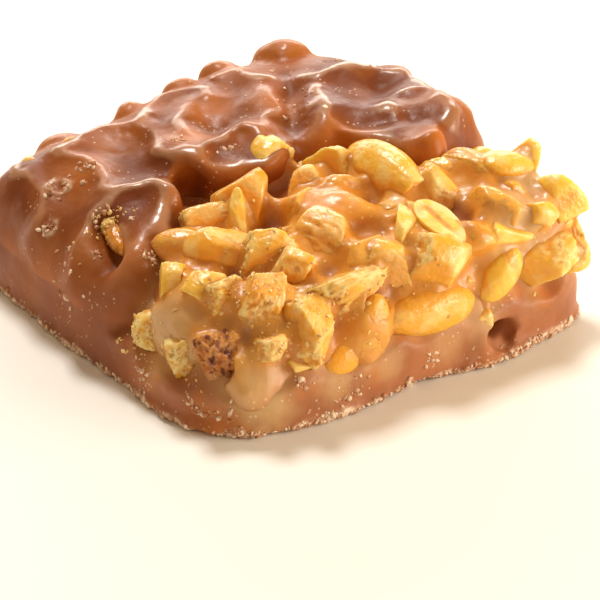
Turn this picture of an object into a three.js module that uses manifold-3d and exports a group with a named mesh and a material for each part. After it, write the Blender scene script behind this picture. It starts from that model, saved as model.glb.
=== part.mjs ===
// A chocolate peanut cluster: chopped peanuts bound in caramel, set on a flat plate of milk chocolate.
// Milk chocolate runs from the plate up over the back half of the block, and the front half is bare.
// Millimetres, +Z up. The origin is the middle of the flat underside. +X runs along the bare front
// edge and +Y points to the coated back.

import * as THREE from "three";
import { mergeVertices } from "three/addons/utils/BufferGeometryUtils.js";
import Module from "manifold-3d";

// Driving dimensions
const GAP = 0.3;
const PLATE = { halfX: 25.4, halfY: 26.0, top: 4.4, bevel: 0.6, corner: 9, cornerSkew: 7 };
const CORE = { halfX: 23.8, halfY: 24.6, base: PLATE.top + GAP, rise: 11.2 };
const COAT_THICKNESS = 1.6;
const COAT_BASE = 2.0;
const CAVITY_RECESS = 0.05;

// Form of the block: the +X end is higher and steeper, and two opposite corners are squarer
const LEAN = 0.16;
const CORNER = { mean: 7, skew: 5 };
const PROFILE = { mean: 5, swingX: 0.8, swingY: -0.2 };
const CORE_MESH = { turns: 56, rings: 14 };
const COAT_MESH = { turns: 88, rings: 24 };

// Wavy rim of the plate: a notch and a bulge along the front edge, and a slow ripple all round
const RIM_NOTCH = { x: 0.5, width: 2.5, depth: 0.9 };
const RIM_BULGE = { x: 11, width: 6, depth: -1.0 };
const RIM_RIPPLE = { height: 0.25, waves: 9 };
const RIM_STEPS = 96;

// Front edge of the coat in plan, as y for each x from left to right
const COAT_EDGE = [
  [-40, -8.5], [-22, -7.5], [-17, -4], [-13, -1], [-10.5, 5.5], [-9, 6], [-7, 2.5], [-4.5, 1],
  [-1.5, -4], [2, -2], [8, -1], [13, -5.5], [17, -9.5], [23, -8], [40, -7],
];
const EDGE_STEP = 1;
const EDGE_DEPTH = 40;

// Shapes of the peanut pieces: width and thickness as shares of the length, and the share that stands proud
const KINDS = {
  half: { width: 0.58, thickness: 0.42, proud: 0.46, sides: 10, rings: 6 },
  chunk: { width: 0.78, thickness: 0.7, proud: 0.42, rough: 0.16 },
  bit: { width: 0.8, thickness: 0.75, proud: 0.46, rough: 0.2 },
};

// The pieces that show most on the bare half: place near the surface, turn of the long side, length,
// and how far a piece is moved out
const LANDMARKS = [
  { kind: "half", at: [8, -10.5, 17.5], spin: -90, length: 13 },
  { kind: "half", at: [-0.5, -14, 16.5], spin: -50, length: 11.5 },
  { kind: "half", at: [2, -25.5, 8], spin: 0, length: 13 },
  { kind: "half", at: [6.5, -22, 16], spin: 15, length: 9 },
  { kind: "half", at: [-15, -11, 15.5], spin: -35, length: 9.5 },
  { kind: "half", at: [20, -25, 8.5], spin: -40, length: 10 },
  { kind: "half", at: [21, -18, 17], spin: 20, length: 9.5 },
  { kind: "chunk", at: [-7, -24, 13.5], spin: 0, length: 9.5 },
  { kind: "chunk", at: [4.5, -25, 12.5], spin: 10, length: 7.5 },
  { kind: "chunk", at: [12, -25.5, 9], spin: 75, length: 7.5 },
  { kind: "chunk", at: [-4.5, -17, 16], spin: 5, length: 7.5 },
  { kind: "chunk", at: [-11.5, -15, 15.5], spin: -5, length: 7.5 },
  { kind: "chunk", at: [-17, -20.5, 14], spin: 55, length: 8 },
  { kind: "chunk", at: [-14, -25, 10.5], spin: 35, length: 7.5 },
  { kind: "chunk", at: [-8, -4.5, 16], spin: 60, length: 7 },
  { kind: "chunk", at: [4.5, -5.5, 17], spin: -70, length: 7.5 },
  { kind: "chunk", at: [15.5, -15.5, 18], spin: 40, length: 7 },
  { kind: "chunk", at: [25, -22, 14], spin: 70, length: 7.5, out: 1.2 },
  { kind: "chunk", at: [25, -24.5, 9], spin: 60, length: 7.5, out: 1.4 },
  { kind: "chunk", at: [25.5, -15, 15.5], spin: 30, length: 7, out: 0.9 },
  { kind: "chunk", at: [-21.5, -11, 13.5], spin: 85, length: 6.5 },
  { kind: "chunk", at: [-23, -21, 8.5], spin: 70, length: 6.5 },
  { kind: "chunk", at: [-6.5, -25.5, 8], spin: -50, length: 7 },
  { kind: "chunk", at: [13.5, -25, 14], spin: -35, length: 6.5 },
  { kind: "chunk", at: [19, -24.5, 14.5], spin: 40, length: 6.5 },
];

// Smaller pieces strewn between them
const STREWN = [
  { kind: "chunk", tries: 600, clearance: 0.8, length: [5, 7] },
  { kind: "bit", tries: 900, clearance: 0.76, length: [3, 4.4] },
];

// Nuts under the coat that raise it: place near the surface and height of the lump
const LUMPS = [
  { at: [18, 24, 17], height: 1.6 },
  { at: [8.5, 24, 17], height: 1.5 },
  { at: [3, 24, 16.5], height: 1.2 },
  { at: [-5, 24, 15.5], height: 1.2 },
  { at: [-15, 24, 14], height: 1.1 },
  { at: [23, 5, 17.5], height: 1.3 },
  { at: [23, -3, 17.5], height: 1.5 },
  { at: [-23, 2, 11], height: 1.1 },
  { at: [-6, 9, 17], height: 1.4 },
];
const LUMP_WIDTH = 3.1;
const LUMP_SPACING = 6.8;
const LUMP_TRIES = 300;
const LUMP_HEIGHT = [0.2, 1.5];

const SEED = 20;
const MATERIALS = {
  chocolate: { color: 0x965c41, roughness: 0.36, metalness: 0 },
  filling: { color: 0xdca04e, roughness: 0.38, metalness: 0 },
};

const wasm = await Module();
wasm.setup();

// A seeded source of even random numbers from 0 up to 1
function seeded(seed) {
  let state = seed;
  return () => {
    state = (state * 1664525 + 1013904223) % 4294967296;
    return state / 4294967296;
  };
}

const mix = (from, to, share) => from + (to - from) * share;

// Powers that shape the block in one direction seen from above
function formPowers(u, v) {
  const flat = Math.hypot(u, v) || 1;
  const corner = CORNER.mean - (CORNER.skew * u * v) / flat ** 2;
  const profile = PROFILE.mean + (PROFILE.swingX * u + PROFILE.swingY * v) / flat;
  return { corner, profile };
}

// How far a point lies out from the middle of a block with these sizes: 1 is its surface
function domeLevel(point, size) {
  const u = point.x / size.halfX;
  const v = point.y / size.halfY;
  const w = Math.max(point.z - size.base, 0) / (size.rise * (1 + LEAN * u));
  const { corner, profile } = formPowers(u, v);
  const plan = (Math.abs(u) ** corner + Math.abs(v) ** corner) ** (profile / corner);
  return (plan + w ** profile) ** (1 / profile);
}

// The point on the block's surface that lies in the same direction as the given point
function ontoDome(point, size) {
  const u = point.x / size.halfX;
  const height = Math.max(point.z - size.base, 0) / (1 + LEAN * u);
  const level = domeLevel(point, size);
  const x = point.x / level;
  const z = size.base + (height / level) * (1 + (LEAN * x) / size.halfX);
  return new THREE.Vector3(x, point.y / level, z);
}

// The outward direction of the block's surface at a point
function outward(point, size) {
  const step = 0.05;
  const slope = (axis) => {
    const ahead = point.clone().addScaledVector(axis, step);
    const behind = point.clone().addScaledVector(axis, -step);
    return domeLevel(ahead, size) - domeLevel(behind, size);
  };
  const axes = [new THREE.Vector3(1, 0, 0), new THREE.Vector3(0, 1, 0), new THREE.Vector3(0, 0, 1)];
  return new THREE.Vector3(...axes.map(slope)).normalize();
}

// The core's sizes grown by one amount on every side
function grown(amount, base) {
  return {
    halfX: CORE.halfX + amount,
    halfY: CORE.halfY + amount,
    base,
    rise: CORE.base + CORE.rise + amount - base,
  };
}

// A closed geometry with shared vertices, and no triangle folded to a line
function welded(geometry) {
  geometry.deleteAttribute("normal");
  geometry.deleteAttribute("uv");
  const merged = mergeVertices(geometry, 1e-5);
  const index = merged.index.array;
  const kept = [];
  for (let i = 0; i < index.length; i += 3) {
    const [a, b, c] = index.slice(i, i + 3);
    if (a !== b && b !== c && c !== a) {
      kept.push(a, b, c);
    }
  }
  merged.setIndex(kept);
  return merged;
}

function toSolid(geometry) {
  const vertProperties = new Float32Array(geometry.attributes.position.array);
  const triVerts = new Uint32Array(geometry.index.array);
  return new wasm.Manifold(new wasm.Mesh({ numProp: 3, vertProperties, triVerts }));
}

// The largest body of a solid, without the scraps and sealed hollows that cutting leaves
function largestBody(solid) {
  const bodies = solid.decompose();
  return bodies.reduce((best, body) => (body.volume() > best.volume() ? body : best));
}

function toMesh(name, solid, look) {
  const { vertProperties, triVerts } = solid.getMesh();
  const geometry = new THREE.BufferGeometry();
  geometry.setAttribute("position", new THREE.BufferAttribute(vertProperties, 3));
  geometry.setIndex(new THREE.BufferAttribute(triVerts, 1));
  geometry.computeVertexNormals();
  const mesh = new THREE.Mesh(geometry, new THREE.MeshStandardMaterial(look));
  mesh.name = name;
  return mesh;
}

// A rounded block with a flat bottom, turned as a quarter round and then pushed out to its squarer form
function domeGeometry(size, { turns, rings }) {
  const outline = [new THREE.Vector2(0, 0)];
  for (let ring = 0; ring <= rings; ring++) {
    const angle = (ring / rings) * (Math.PI / 2);
    const radius = ring === rings ? 0 : Math.cos(angle);
    outline.push(new THREE.Vector2(radius, Math.sin(angle)));
  }
  const geometry = new THREE.LatheGeometry(outline, turns);
  geometry.rotateX(Math.PI / 2);
  const dome = welded(geometry);
  const position = dome.attributes.position;
  const point = new THREE.Vector3();
  for (let i = 0; i < position.count; i++) {
    point.fromBufferAttribute(position, i);
    if (point.length() < 0.5) {
      point.set(0, 0, size.base);
    } else {
      const lean = 1 + LEAN * point.x;
      point.set(point.x * size.halfX, point.y * size.halfY, size.base + point.z * size.rise * lean);
      point.copy(ontoDome(point, size));
    }
    position.setXYZ(i, point.x, point.y, point.z);
  }
  return dome;
}

// Pieces on the bare half

// y of the coat's front edge at x, eased from point to point
function coatEdge(x) {
  const next = COAT_EDGE.findIndex(([edgeX]) => edgeX >= x);
  const [x0, y0] = COAT_EDGE[Math.max(next - 1, 0)];
  const [x1, y1] = COAT_EDGE[next];
  return mix(y0, y1, THREE.MathUtils.smoothstep(x, x0, x1));
}

// Places strewn by trying random spots on the core and keeping those clear of every earlier one
function strew(pieces, { kind, tries, clearance, length }, random) {
  for (let i = 0; i < tries; i++) {
    const turn = random() * 2 * Math.PI;
    const climb = random();
    const size = mix(length[0], length[1], random());
    const spin = random() * 360;
    const around = Math.sqrt(1 - climb * climb);
    const aim = new THREE.Vector3(
      Math.cos(turn) * around * CORE.halfX,
      Math.sin(turn) * around * CORE.halfY,
      CORE.base + climb * CORE.rise,
    );
    const at = ontoDome(aim, CORE);
    const near = (other) => other.at.distanceTo(at) < (clearance * (other.length + size)) / 2;
    if (at.y < coatEdge(at.x) && !pieces.some(near)) {
      pieces.push({ kind, at, spin, length: size });
    }
  }
}

function peanutPieces(random) {
  const place = (piece) => ({ ...piece, at: ontoDome(new THREE.Vector3(...piece.at), CORE) });
  const pieces = LANDMARKS.map(place);
  STREWN.forEach((sort) => strew(pieces, sort, random));
  return pieces;
}

// The turn and place of a piece: long side along the surface, thickness outwards
function pieceMatrix({ kind, at, spin, length, out: extra = 0 }) {
  const { thickness, proud } = KINDS[kind];
  const out = outward(at, CORE);
  const along = Math.abs(out.x) < 0.8 ? new THREE.Vector3(1, 0, 0) : new THREE.Vector3(0, 1, 0);
  along.addScaledVector(out, -along.dot(out)).normalize();
  along.applyAxisAngle(out, THREE.MathUtils.degToRad(spin));
  const across = new THREE.Vector3().crossVectors(out, along);
  const lift = length * thickness * (proud - 0.5) + extra;
  const centre = at.clone().addScaledVector(out, lift);
  return new THREE.Matrix4().makeBasis(along, across, out).setPosition(centre);
}

// A half nut is a smooth oval, and a broken piece is a block of flat facets with uneven corners
function pieceSolid(piece, random) {
  const { width, thickness, rough, sides, rings } = KINDS[piece.kind];
  const facets = { half: () => new THREE.SphereGeometry(0.5, sides, rings),
    chunk: () => new THREE.DodecahedronGeometry(0.55),
    bit: () => new THREE.IcosahedronGeometry(0.55) };
  const geometry = welded(facets[piece.kind]());
  const position = geometry.attributes.position;
  for (let i = 0; i < position.count && rough; i++) {
    const swell = 1 + rough * (2 * random() - 1);
    position.setXYZ(i, position.getX(i) * swell, position.getY(i) * swell, position.getZ(i) * swell);
  }
  geometry.scale(piece.length, piece.length * width, piece.length * thickness);
  geometry.applyMatrix4(pieceMatrix(piece));
  return toSolid(geometry);
}

// Chocolate

// Everything behind the coat's front edge, as a tall wall-to-wall block
function coveredSpace(setback) {
  const shape = new THREE.Shape();
  shape.moveTo(EDGE_DEPTH, EDGE_DEPTH);
  shape.lineTo(-EDGE_DEPTH, EDGE_DEPTH);
  for (let x = -EDGE_DEPTH; x <= EDGE_DEPTH; x += EDGE_STEP) {
    shape.lineTo(x, coatEdge(x) - setback);
  }
  const geometry = new THREE.ExtrudeGeometry(shape, { depth: EDGE_DEPTH, bevelEnabled: false });
  return toSolid(welded(geometry));
}

// Rim of the plate: a squarish outline with a notch, a bulge and a ripple
function plateRim(angle) {
  const c = Math.cos(angle);
  const s = Math.sin(angle);
  const corner = PLATE.corner - PLATE.cornerSkew * c * s;
  const reach = (Math.abs(c) ** corner + Math.abs(s) ** corner) ** (-1 / corner);
  const ripple = RIM_RIPPLE.height * Math.sin(RIM_RIPPLE.waves * angle);
  const x = (PLATE.halfX + ripple) * c * reach;
  let y = (PLATE.halfY + ripple) * s * reach;
  if (s < 0) {
    for (const { x: middle, width, depth } of [RIM_NOTCH, RIM_BULGE]) {
      y += depth * Math.exp(-(((x - middle) / width) ** 2));
    }
  }
  return new THREE.Vector2(x, y);
}

function plateSolid() {
  const rim = [];
  for (let i = 0; i < RIM_STEPS; i++) {
    rim.push(plateRim((i / RIM_STEPS) * 2 * Math.PI));
  }
  const geometry = new THREE.ExtrudeGeometry(new THREE.Shape(rim), {
    depth: PLATE.top - 2 * PLATE.bevel,
    bevelThickness: PLATE.bevel,
    bevelSize: PLATE.bevel,
    bevelOffset: -PLATE.bevel,
    bevelSegments: 1,
  });
  geometry.translate(0, 0, PLATE.bevel);
  return toSolid(welded(geometry));
}

// Lumps named above, and smaller ones strewn between them
function coatLumps(size, random) {
  const lumps = LUMPS.map(({ at, height }) => ({ at: ontoDome(new THREE.Vector3(...at), size), height }));
  for (let i = 0; i < LUMP_TRIES; i++) {
    const turn = random() * 2 * Math.PI;
    const climb = random();
    const height = mix(LUMP_HEIGHT[0], LUMP_HEIGHT[1], random());
    const around = Math.sqrt(1 - climb * climb);
    const x = Math.cos(turn) * around * size.halfX;
    const y = Math.sin(turn) * around * size.halfY;
    const at = ontoDome(new THREE.Vector3(x, y, size.base + climb * size.rise), size);
    if (lumps.every((lump) => lump.at.distanceTo(at) > LUMP_SPACING)) {
      lumps.push({ at, height });
    }
  }
  return lumps;
}

// The coat's outside: the core grown by the coat, raised in rounded lumps
function coatSolid(random) {
  const size = grown(COAT_THICKNESS, COAT_BASE);
  const lumps = coatLumps(size, random);
  const dome = domeGeometry(size, COAT_MESH);
  const position = dome.attributes.position;
  const point = new THREE.Vector3();
  for (let i = 0; i < position.count; i++) {
    point.fromBufferAttribute(position, i);
    if (point.z > PLATE.top) {
      const rises = lumps.map(({ at, height }) => height * Math.exp(-((point.distanceTo(at) / LUMP_WIDTH) ** 2)));
      point.addScaledVector(outward(point, size), Math.max(...rises));
      position.setXYZ(i, point.x, point.y, point.z);
    }
  }
  return toSolid(dome);
}

// The two sub-parts

const random = seeded(SEED);
const pieces = peanutPieces(random);

const belowCore = new THREE.BoxGeometry(4 * CORE.halfX, 4 * CORE.halfY, 2 * CORE.base);
const nuts = pieces
  .map((piece) => pieceSolid(piece, random))
  .reduce((sum, nut) => sum.add(nut))
  .subtract(coveredSpace(GAP + COAT_THICKNESS / 8))
  .subtract(toSolid(welded(belowCore)));
const filling = largestBody(toSolid(domeGeometry(CORE, CORE_MESH)).add(nuts));

const cavity = toSolid(domeGeometry(grown(GAP, PLATE.top - CAVITY_RECESS), CORE_MESH));
const coat = coatSolid(random).intersect(coveredSpace(0));
const shell = largestBody(plateSolid().add(coat).subtract(cavity));

const cluster = new THREE.Group();
cluster.add(toMesh("chocolate_shell", shell, MATERIALS.chocolate));
cluster.add(toMesh("peanut_caramel", filling, MATERIALS.filling));

export default cluster;
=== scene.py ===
"""Looks of the chocolate peanut cluster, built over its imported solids."""
import math
from collections import namedtuple

import bmesh
import bpy
import numpy as np
from bpy.props import FloatProperty, FloatVectorProperty, IntProperty, PointerProperty
from mathutils import Matrix, Vector, noise
from mathutils.bvhtree import BVHTree


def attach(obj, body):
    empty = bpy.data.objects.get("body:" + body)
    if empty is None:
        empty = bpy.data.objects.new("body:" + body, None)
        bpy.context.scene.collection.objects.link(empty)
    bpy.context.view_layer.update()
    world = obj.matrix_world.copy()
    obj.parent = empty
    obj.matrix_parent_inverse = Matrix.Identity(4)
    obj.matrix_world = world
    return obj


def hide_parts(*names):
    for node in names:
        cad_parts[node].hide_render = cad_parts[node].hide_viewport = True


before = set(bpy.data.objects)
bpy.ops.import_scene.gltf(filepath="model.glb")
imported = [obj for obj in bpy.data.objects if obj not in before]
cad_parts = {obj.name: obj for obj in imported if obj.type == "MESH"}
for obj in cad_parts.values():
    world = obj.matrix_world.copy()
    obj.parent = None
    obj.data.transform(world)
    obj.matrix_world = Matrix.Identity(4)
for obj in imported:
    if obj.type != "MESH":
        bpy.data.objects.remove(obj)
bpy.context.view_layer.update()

bl_info = {
    "name": "Chocolate peanut cluster",
    "version": (1, 0, 0),
    "blender": (4, 5, 0),
    "location": "View3D > Sidebar > Cluster",
    "description": "A cluster of chopped peanuts in caramel with a milk chocolate coat over its back half",
    "category": "Mesh",
}

# Meshes are shaped in millimetres and scaled to metres when finished
MM = 0.001
SEED = 20

# Sizes that the solids have too, in millimetres
GAP = 0.3
PLATE_HALF = (25.4, 26.0)
PLATE_CORNER = 9.0
PLATE_CORNER_SKEW = 7.0
COAT_BASE = 2.0
LEAN = 0.16
CORNER_MEAN = 7.0
CORNER_SKEW = 5.0
PROFILE_MEAN = 5.0
PROFILE_X = 0.8
PROFILE_Y = -0.2
RIM_BUMPS = ((0.5, 2.5, 0.9), (11.0, 6.0, -1.0))
RIM_RIPPLE = 0.25
RIM_WAVES = 9
# x and y of the spots that the coat's front edge runs through, finer than in the solids
COAT_EDGE = (
    (-40, -7.0), (-22, -6.2), (-17, -4), (-13, -1), (-10.5, 5.5), (-9, 6), (-7, 2.5), (-4.5, 1),
    (-1.5, -0.5), (2, 0.5), (8, -1), (10.5, -5.5), (11.8, -10.5), (12.8, -12.4), (14.2, -12.8),
    (15.6, -11.6), (17.2, -9), (23, -8), (40, -7),
)

# A rounded block: half its width and depth, and the height of its underside and of its top over that
Form = namedtuple("Form", "half_x half_y base rise")
# A kind of nut: width and thickness against its length, share that stands out, and number of broken sides
Kind = namedtuple("Kind", "width thickness proud breaks")
# Random relief: height, size of its waves, and how many times finer waves are laid over them
Ripple = namedtuple("Ripple", "height size octaves", defaults=(1,))
# A lump under the coat: spot, height, width, and whether it is a clear knob or a soft swelling
Lump = namedtuple("Lump", "at height width knob", defaults=(2.6, False))
# One nut: kind, spot, turn about the surface, length, lift, raised end, roll, width and thickness against
# its kind, narrowing to one end or the share chopped off a half, roughness of its breaks, share under
# caramel, which is below 0 where caramel keeps off, and share toasted
Nut = namedtuple(
    "Nut", "kind at spin length out pitch roll wide thick taper rough glaze toast",
    defaults=(0.0, 0.0, 0.0, 1.0, 1.0, 0.0, 1.0, 0.0, 0.0),
)

KINDS = {
    "half": Kind(0.58, 0.42, 0.38, 0),
    "chunk": Kind(0.78, 0.70, 0.33, 5),
    "bit": Kind(0.80, 0.75, 0.38, 4),
}
LANDMARKS = (
    Nut("half", (8.8, -10.0, 17.0), -92, 14.0, 0.7, roll=15, wide=0.72, taper=0.17),
    Nut("half", (-0.5, -12.7, 16.2), -53, 9.0, 0.3, glaze=1.0),
    Nut("half", (2.6, -25.3, 7.8), 175, 12.8, 0.3, wide=0.74, thick=0.85, taper=0.14),
    Nut("half", (6.9, -21.4, 15.6), -82, 7.5, 0.8, roll=172),
    Nut("half", (-17.1, -5.8, 14.3), -42, 6.2, 0.4, glaze=0.9),
    Nut("half", (12.5, -25.2, 9.0), -132, 7.5, 0.4),
    Nut("half", (20.6, -17.0, 17.0), -5, 7.4, 0.9, wide=1.1),
    Nut("chunk", (-8.2, -4.6, 15.6), 51, 8.6, 1.4, pitch=50, wide=1.0, thick=0.6, taper=0.3, rough=0.3),
    Nut("chunk", (-10.0, -7.2, 15.4), 63, 6.2, 1.3, pitch=55, wide=0.62, thick=0.55, taper=0.45, rough=0.3),
    Nut("chunk", (-12.3, -3.6, 15.2), -17, 5.2, 0.5),
    Nut("chunk", (-14.6, -10.3, 14.9), -40, 7.0, 0.6, wide=0.8, rough=0.6),
    Nut("chunk", (-11.1, -14.1, 15.2), -19, 6.8, 0.8, rough=1.4),
    Nut("chunk", (-21.0, -9.6, 13.0), -118, 5.6, 0.4),
    Nut("chunk", (-18.8, -16.7, 13.4), -16, 5.2, 0.6, rough=2.2),
    Nut("chunk", (-16.2, -20.2, 13.4), 39, 7.0, 0.9, pitch=30, wide=0.9, taper=0.35, rough=2.0, toast=0.1),
    Nut("chunk", (-13.3, -24.3, 10.7), 61, 7.6, 0.9, wide=0.9, rough=2.0, toast=0.06),
    Nut("chunk", (-4.7, -16.6, 15.6), -75, 7.8, 0.6, glaze=0.6),
    Nut("chunk", (5.2, -4.7, 16.6), -76, 6.8, 0.6),
    Nut("chunk", (13.6, -12.8, 17.2), -107, 5.4, -0.2, glaze=0.4),
    Nut("chunk", (16.2, -14.8, 17.2), -91, 6.4, 0.4, glaze=1.0),
    Nut("chunk", (3.1, -20.4, 15.6), 44, 6.0, 0.8, pitch=38, wide=0.55),
    Nut("chunk", (5.1, -24.8, 12.3), -28, 7.0, 0.6),
    Nut("chunk", (-6.8, -23.6, 13.2), 3, 10.8, 0.5, wide=0.6, thick=0.7, rough=1.7, toast=0.08),
    Nut("chunk", (25.0, -22.0, 14.0), 70, 7.0, 2.4),
    Nut("chunk", (20.3, -24.6, 8.8), 7, 6.8, 1.0),
    Nut("chunk", (25.0, -24.0, 8.8), 60, 6.6, 2.2),
    Nut("chunk", (13.9, -24.3, 13.6), -30, 5.8, 0.5, wide=0.9, thick=0.6, rough=0.5),
    Nut("chunk", (-22.3, -20.1, 7.7), 124, 5.0, -0.1, wide=1.2, thick=1.3, rough=3.0, toast=1.0),
    Nut("half", (-5.8, -25.3, 8.3), 70, 8.4, 0.5, wide=1.1, glaze=1.0),
    Nut("half", (-9.2, -25.5, 6.1), 28, 6.4, 0.5, wide=1.1, taper=0.1),
    Nut("chunk", (-10.7, -17.9, 15.0), -60, 5.2, 0.3),
    Nut("chunk", (14.4, -21.9, 16.0), -41, 6.2, 0.3, glaze=0.8),
    Nut("chunk", (-0.8, -22.9, 14.2), -39, 5.6, 0.2, glaze=0.4),
    Nut("chunk", (11.6, -14.9, 17.0), -71, 6.0, 0.3, glaze=0.5),
    Nut("chunk", (-2.8, -20.3, 15.1), -16, 5.6, 0.2, glaze=0.6),
    Nut("chunk", (0.4, 1.7, 17.0), 40, 6.0, 1.7, wide=1.1),
    Nut("bit", (-16.4, 23.6, 15.0), 60, 3.6, 1.0),
    Nut("bit", (-21.4, 22.8, 13.4), 60, 2.6, 1.0),
    Nut("bit", (-21.9, 3.0, 13.7), -110, 2.6, 0.7, rough=2.0),
    Nut("bit", (-3.2, -9.1, 16.0), 6, 5.0, 0.3, glaze=0.7),
    Nut("bit", (2.4, -9.5, 16.4), -27, 5.2, 0.2, glaze=1.0),
    Nut("bit", (24.5, -16.5, 16.5), -96, 5.4, 2.0, wide=0.45),
    Nut("bit", (18.9, -23.8, 14.2), -35, 5.0, 0.6),
    Nut("bit", (25.0, -22.5, 11.0), -32, 4.6, 0.9),
    Nut("bit", (-19.8, -14.0, 13.5), 8, 4.2, 0.6),
    Nut("bit", (-17.5, -23.6, 9.4), 4, 3.2, 0.8, rough=2.2),
    Nut("bit", (-14.1, -25.0, 6.8), -7, 3.8, 0.8, wide=0.6, thick=0.4),
    Nut("bit", (10.5, -24.1, 13.7), -26, 4.6, 0.2, glaze=1.0),
    Nut("bit", (-24.3, -9.6, 7.2), 80, 5.0, -0.2, rough=3.0, glaze=-0.5),
    Nut("bit", (-23.8, -15.8, 7.0), -141, 5.4, -0.2, rough=3.0, glaze=-0.5),
    Nut("bit", (16.8, -25.6, 5.0), 51, 2.6, 0.6),
    Nut("half", (-22.5, 0.9, 13.4), -110, 5.8, 0.5, wide=0.66, toast=0.5),
)
# Kind, tries, clearance, lengths and lifts of the nuts strewn between the landmarks
STREWN = (
    ("chunk", 700, 0.66, (4.8, 7.2), (-0.9, 0.5)),
    ("bit", 1200, 0.66, (2.6, 4.4), (-1.7, -0.5)),
)
# Raised ends, rolls and shares under caramel of the strewn nuts
STREWN_PITCH = (-25, 25)
STREWN_ROLL = (-60, 60)
STREWN_GLAZE = (-0.4, 1.0)
# Room that strewn nuts leave in front of the coat's edge, the same below its lip, and the x span of that
EDGE_ROOM = 0.4
LIP_ROOM = 2.4
LIP_ROOM_SPAN = (-14, 3)
# Flank that strewn nuts leave bare: left of x, behind y and below z
BARE_FLANK = (-18, -23, 12.8)
LUMPS = (
    Lump((16.5, 22, 17.5), 2.6, 3.3, True),
    Lump((8.0, 23, 17), 2.3, 2.7, True),
    Lump((2.5, 23, 16.5), 2.0, 2.2, True),
    Lump((-6.0, 22, 16), 2.0, 2.0, True),
    Lump((-15, 24, 14), 1.4, 2.4, True),
    Lump((24, 9, 17.0), 2.2),
    Lump((23, -3, 17.5), 1.8, 3.0, True),
    Lump((13.8, -10.2, 17.6), 1.9, 3.0),
    Lump((-23, 2, 11), 1.1),
    Lump((-6, 9, 17), 1.2),
)
LUMP_TRIES = 300
LUMP_SPACING = 6.8
LUMP_HEIGHT = (0.2, 1.5)

# Painted shade: how much darker the nuts are towards the left end
LEFT_SHADE_LEAN = 0.4
# How crisp the edges of a chopped nut are, and the roughness above which crumbs cling to it
CRISP = 26
CRUMBLY = 1.3
# Dark hollows between the nuts: middle and radius
CAVES = (
    ((1.9, -18.3, 16.6), 1.9),
    ((-2.1, -2.2, 16.8), 1.8),
    ((-10.8, -18.4, 14.8), 1.9),
    ((-3.7, -25.4, 11.6), 2.2),
    ((11.6, -17.2, 17.6), 2.4),
    ((-10.5, 1.5, 16.6), 2.2),
    ((-13.0, -6.6, 15.6), 1.3),
    ((-23.2, -9.0, 11.4), 1.8),
    ((-22.2, -20.0, 7.4), 2.2),
    ((-17.0, -14.2, 14.2), 2.0),
    ((-14.4, -22.4, 12.3), 1.0),
)
# Room that strewn nuts leave around a hollow
CAVE_ROOM = 1.8

# Caramel that stands out where no nut shows: middle and half sizes
BULGES = (
    ((-21.8, -12.8, 8.0), (2.2, 4.6, 4.6)),
    ((-19.6, -21.0, 5.8), (2.5, 2.5, 3.2)),
    ((-18.0, -22.8, 4.6), (3.8, 2.2, 2.8)),
    ((20.5, -16.5, 12.5), (4.0, 5.0, 4.0)),
    ((21.0, -21.0, 9.0), (4.0, 3.0, 4.5)),
)
# Spots where the caramel is milky: middle and radius
MILKY_SPOTS = (
    ((-22.5, -13.0, 8.0), 5.5),
    ((-19.0, -23.0, 5.0), 4.0),
    ((16.0, -22.5, 13.0), 5.5),
    ((21.0, -17.0, 16.0), 5.0),
)
# Smears of caramel on the chocolate wall: middle, radius and strength
SMEARS = (
    ((-18.6, -24.6, 3.4), 4.4, 0.9),
    ((-23.4, -13.0, 5.0), 4.0, 0.7),
    ((-11.0, -26.0, 4.4), 3.4, 0.6),
    ((-4.0, -26.4, 4.6), 3.0, 0.5),
    ((4.0, -26.6, 4.4), 4.0, 0.4),
)
# Gaps in the chocolate bank where caramel shows: x, y, half widths along x and y, and drop
BANK_GAPS = (
    (-22.4, -12.5, 3.5, 5.0, 2.8),
    (-20.5, -22.5, 2.6, 2.6, 2.2),
)
# How caramel lies: depth of its bed between the nuts, depth of the skin under a bare nut, size of the skin
# against a bare and a glazed nut, and reach of the webs between nuts
BED_DEPTH = 2.2
SUNK = 0.3
BARE_SIZE = 0.94
GLAZE_SIZE = 0.12
WEB_REACH = 1.15

# Crests that the coat makes from nut to nut: half width, height and the spots that each runs through
CRESTS = (
    (2.0, 1.7, ((-16.8, 17.8), (-16.5, 12.9), (-16.8, 8.6), (-17.2, 4.9))),
    (1.8, 1.9, ((-17.2, 4.9), (-14.8, 2.7), (-14.0, -0.3), (-12.6, -1.0))),
    (1.9, 1.5, ((-17.2, 4.9), (-19.4, 4.5), (-21.4, 4.4), (-23.9, 3.1), (-25.4, 1.5))),
    (1.8, 1.5, ((-16.8, 17.8), (-13.5, 18.4), (-10.5, 18.4), (-7.9, 16.7), (-7.7, 13.0), (-8.9, 10.0))),
    (1.6, 1.9, ((-9.1, 10.0), (-8.2, 8.4), (-6.8, 5.8), (-4.0, 5.0), (-1.1, 5.5), (1.5, 4.6))),
    (1.8, 1.5, ((-7.6, 17.2), (-5.5, 18.0), (-1.4, 19.9), (1.4, 18.7), (1.9, 15.3))),
    (1.7, 1.4, ((-6.1, 9.9), (-3.1, 14.3), (-0.3, 16.2))),
    (1.8, 1.5, ((5.3, 18.6), (8.5, 19.2), (9.3, 14.5), (5.4, 7.9), (1.8, 3.1))),
    (1.8, 1.4, ((9.3, 14.5), (14.0, 11.0), (19.0, 10.5), (22.5, 7.0))),
    (2.0, 1.8, ((22.5, 7.0), (22.0, 2.0), (21.0, -3.0), (20.0, -8.0))),
    (1.6, 1.5, ((7.6, 0.0), (9.6, 4.3), (11.8, 9.0))),
    (1.8, 1.2, ((22.0, 2.0), (17.0, 2.5), (14.5, -2.5))),
    (1.8, 1.2, ((-21.7, 20.0), (-21.8, 13.3), (-24.4, 9.6))),
)
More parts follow.
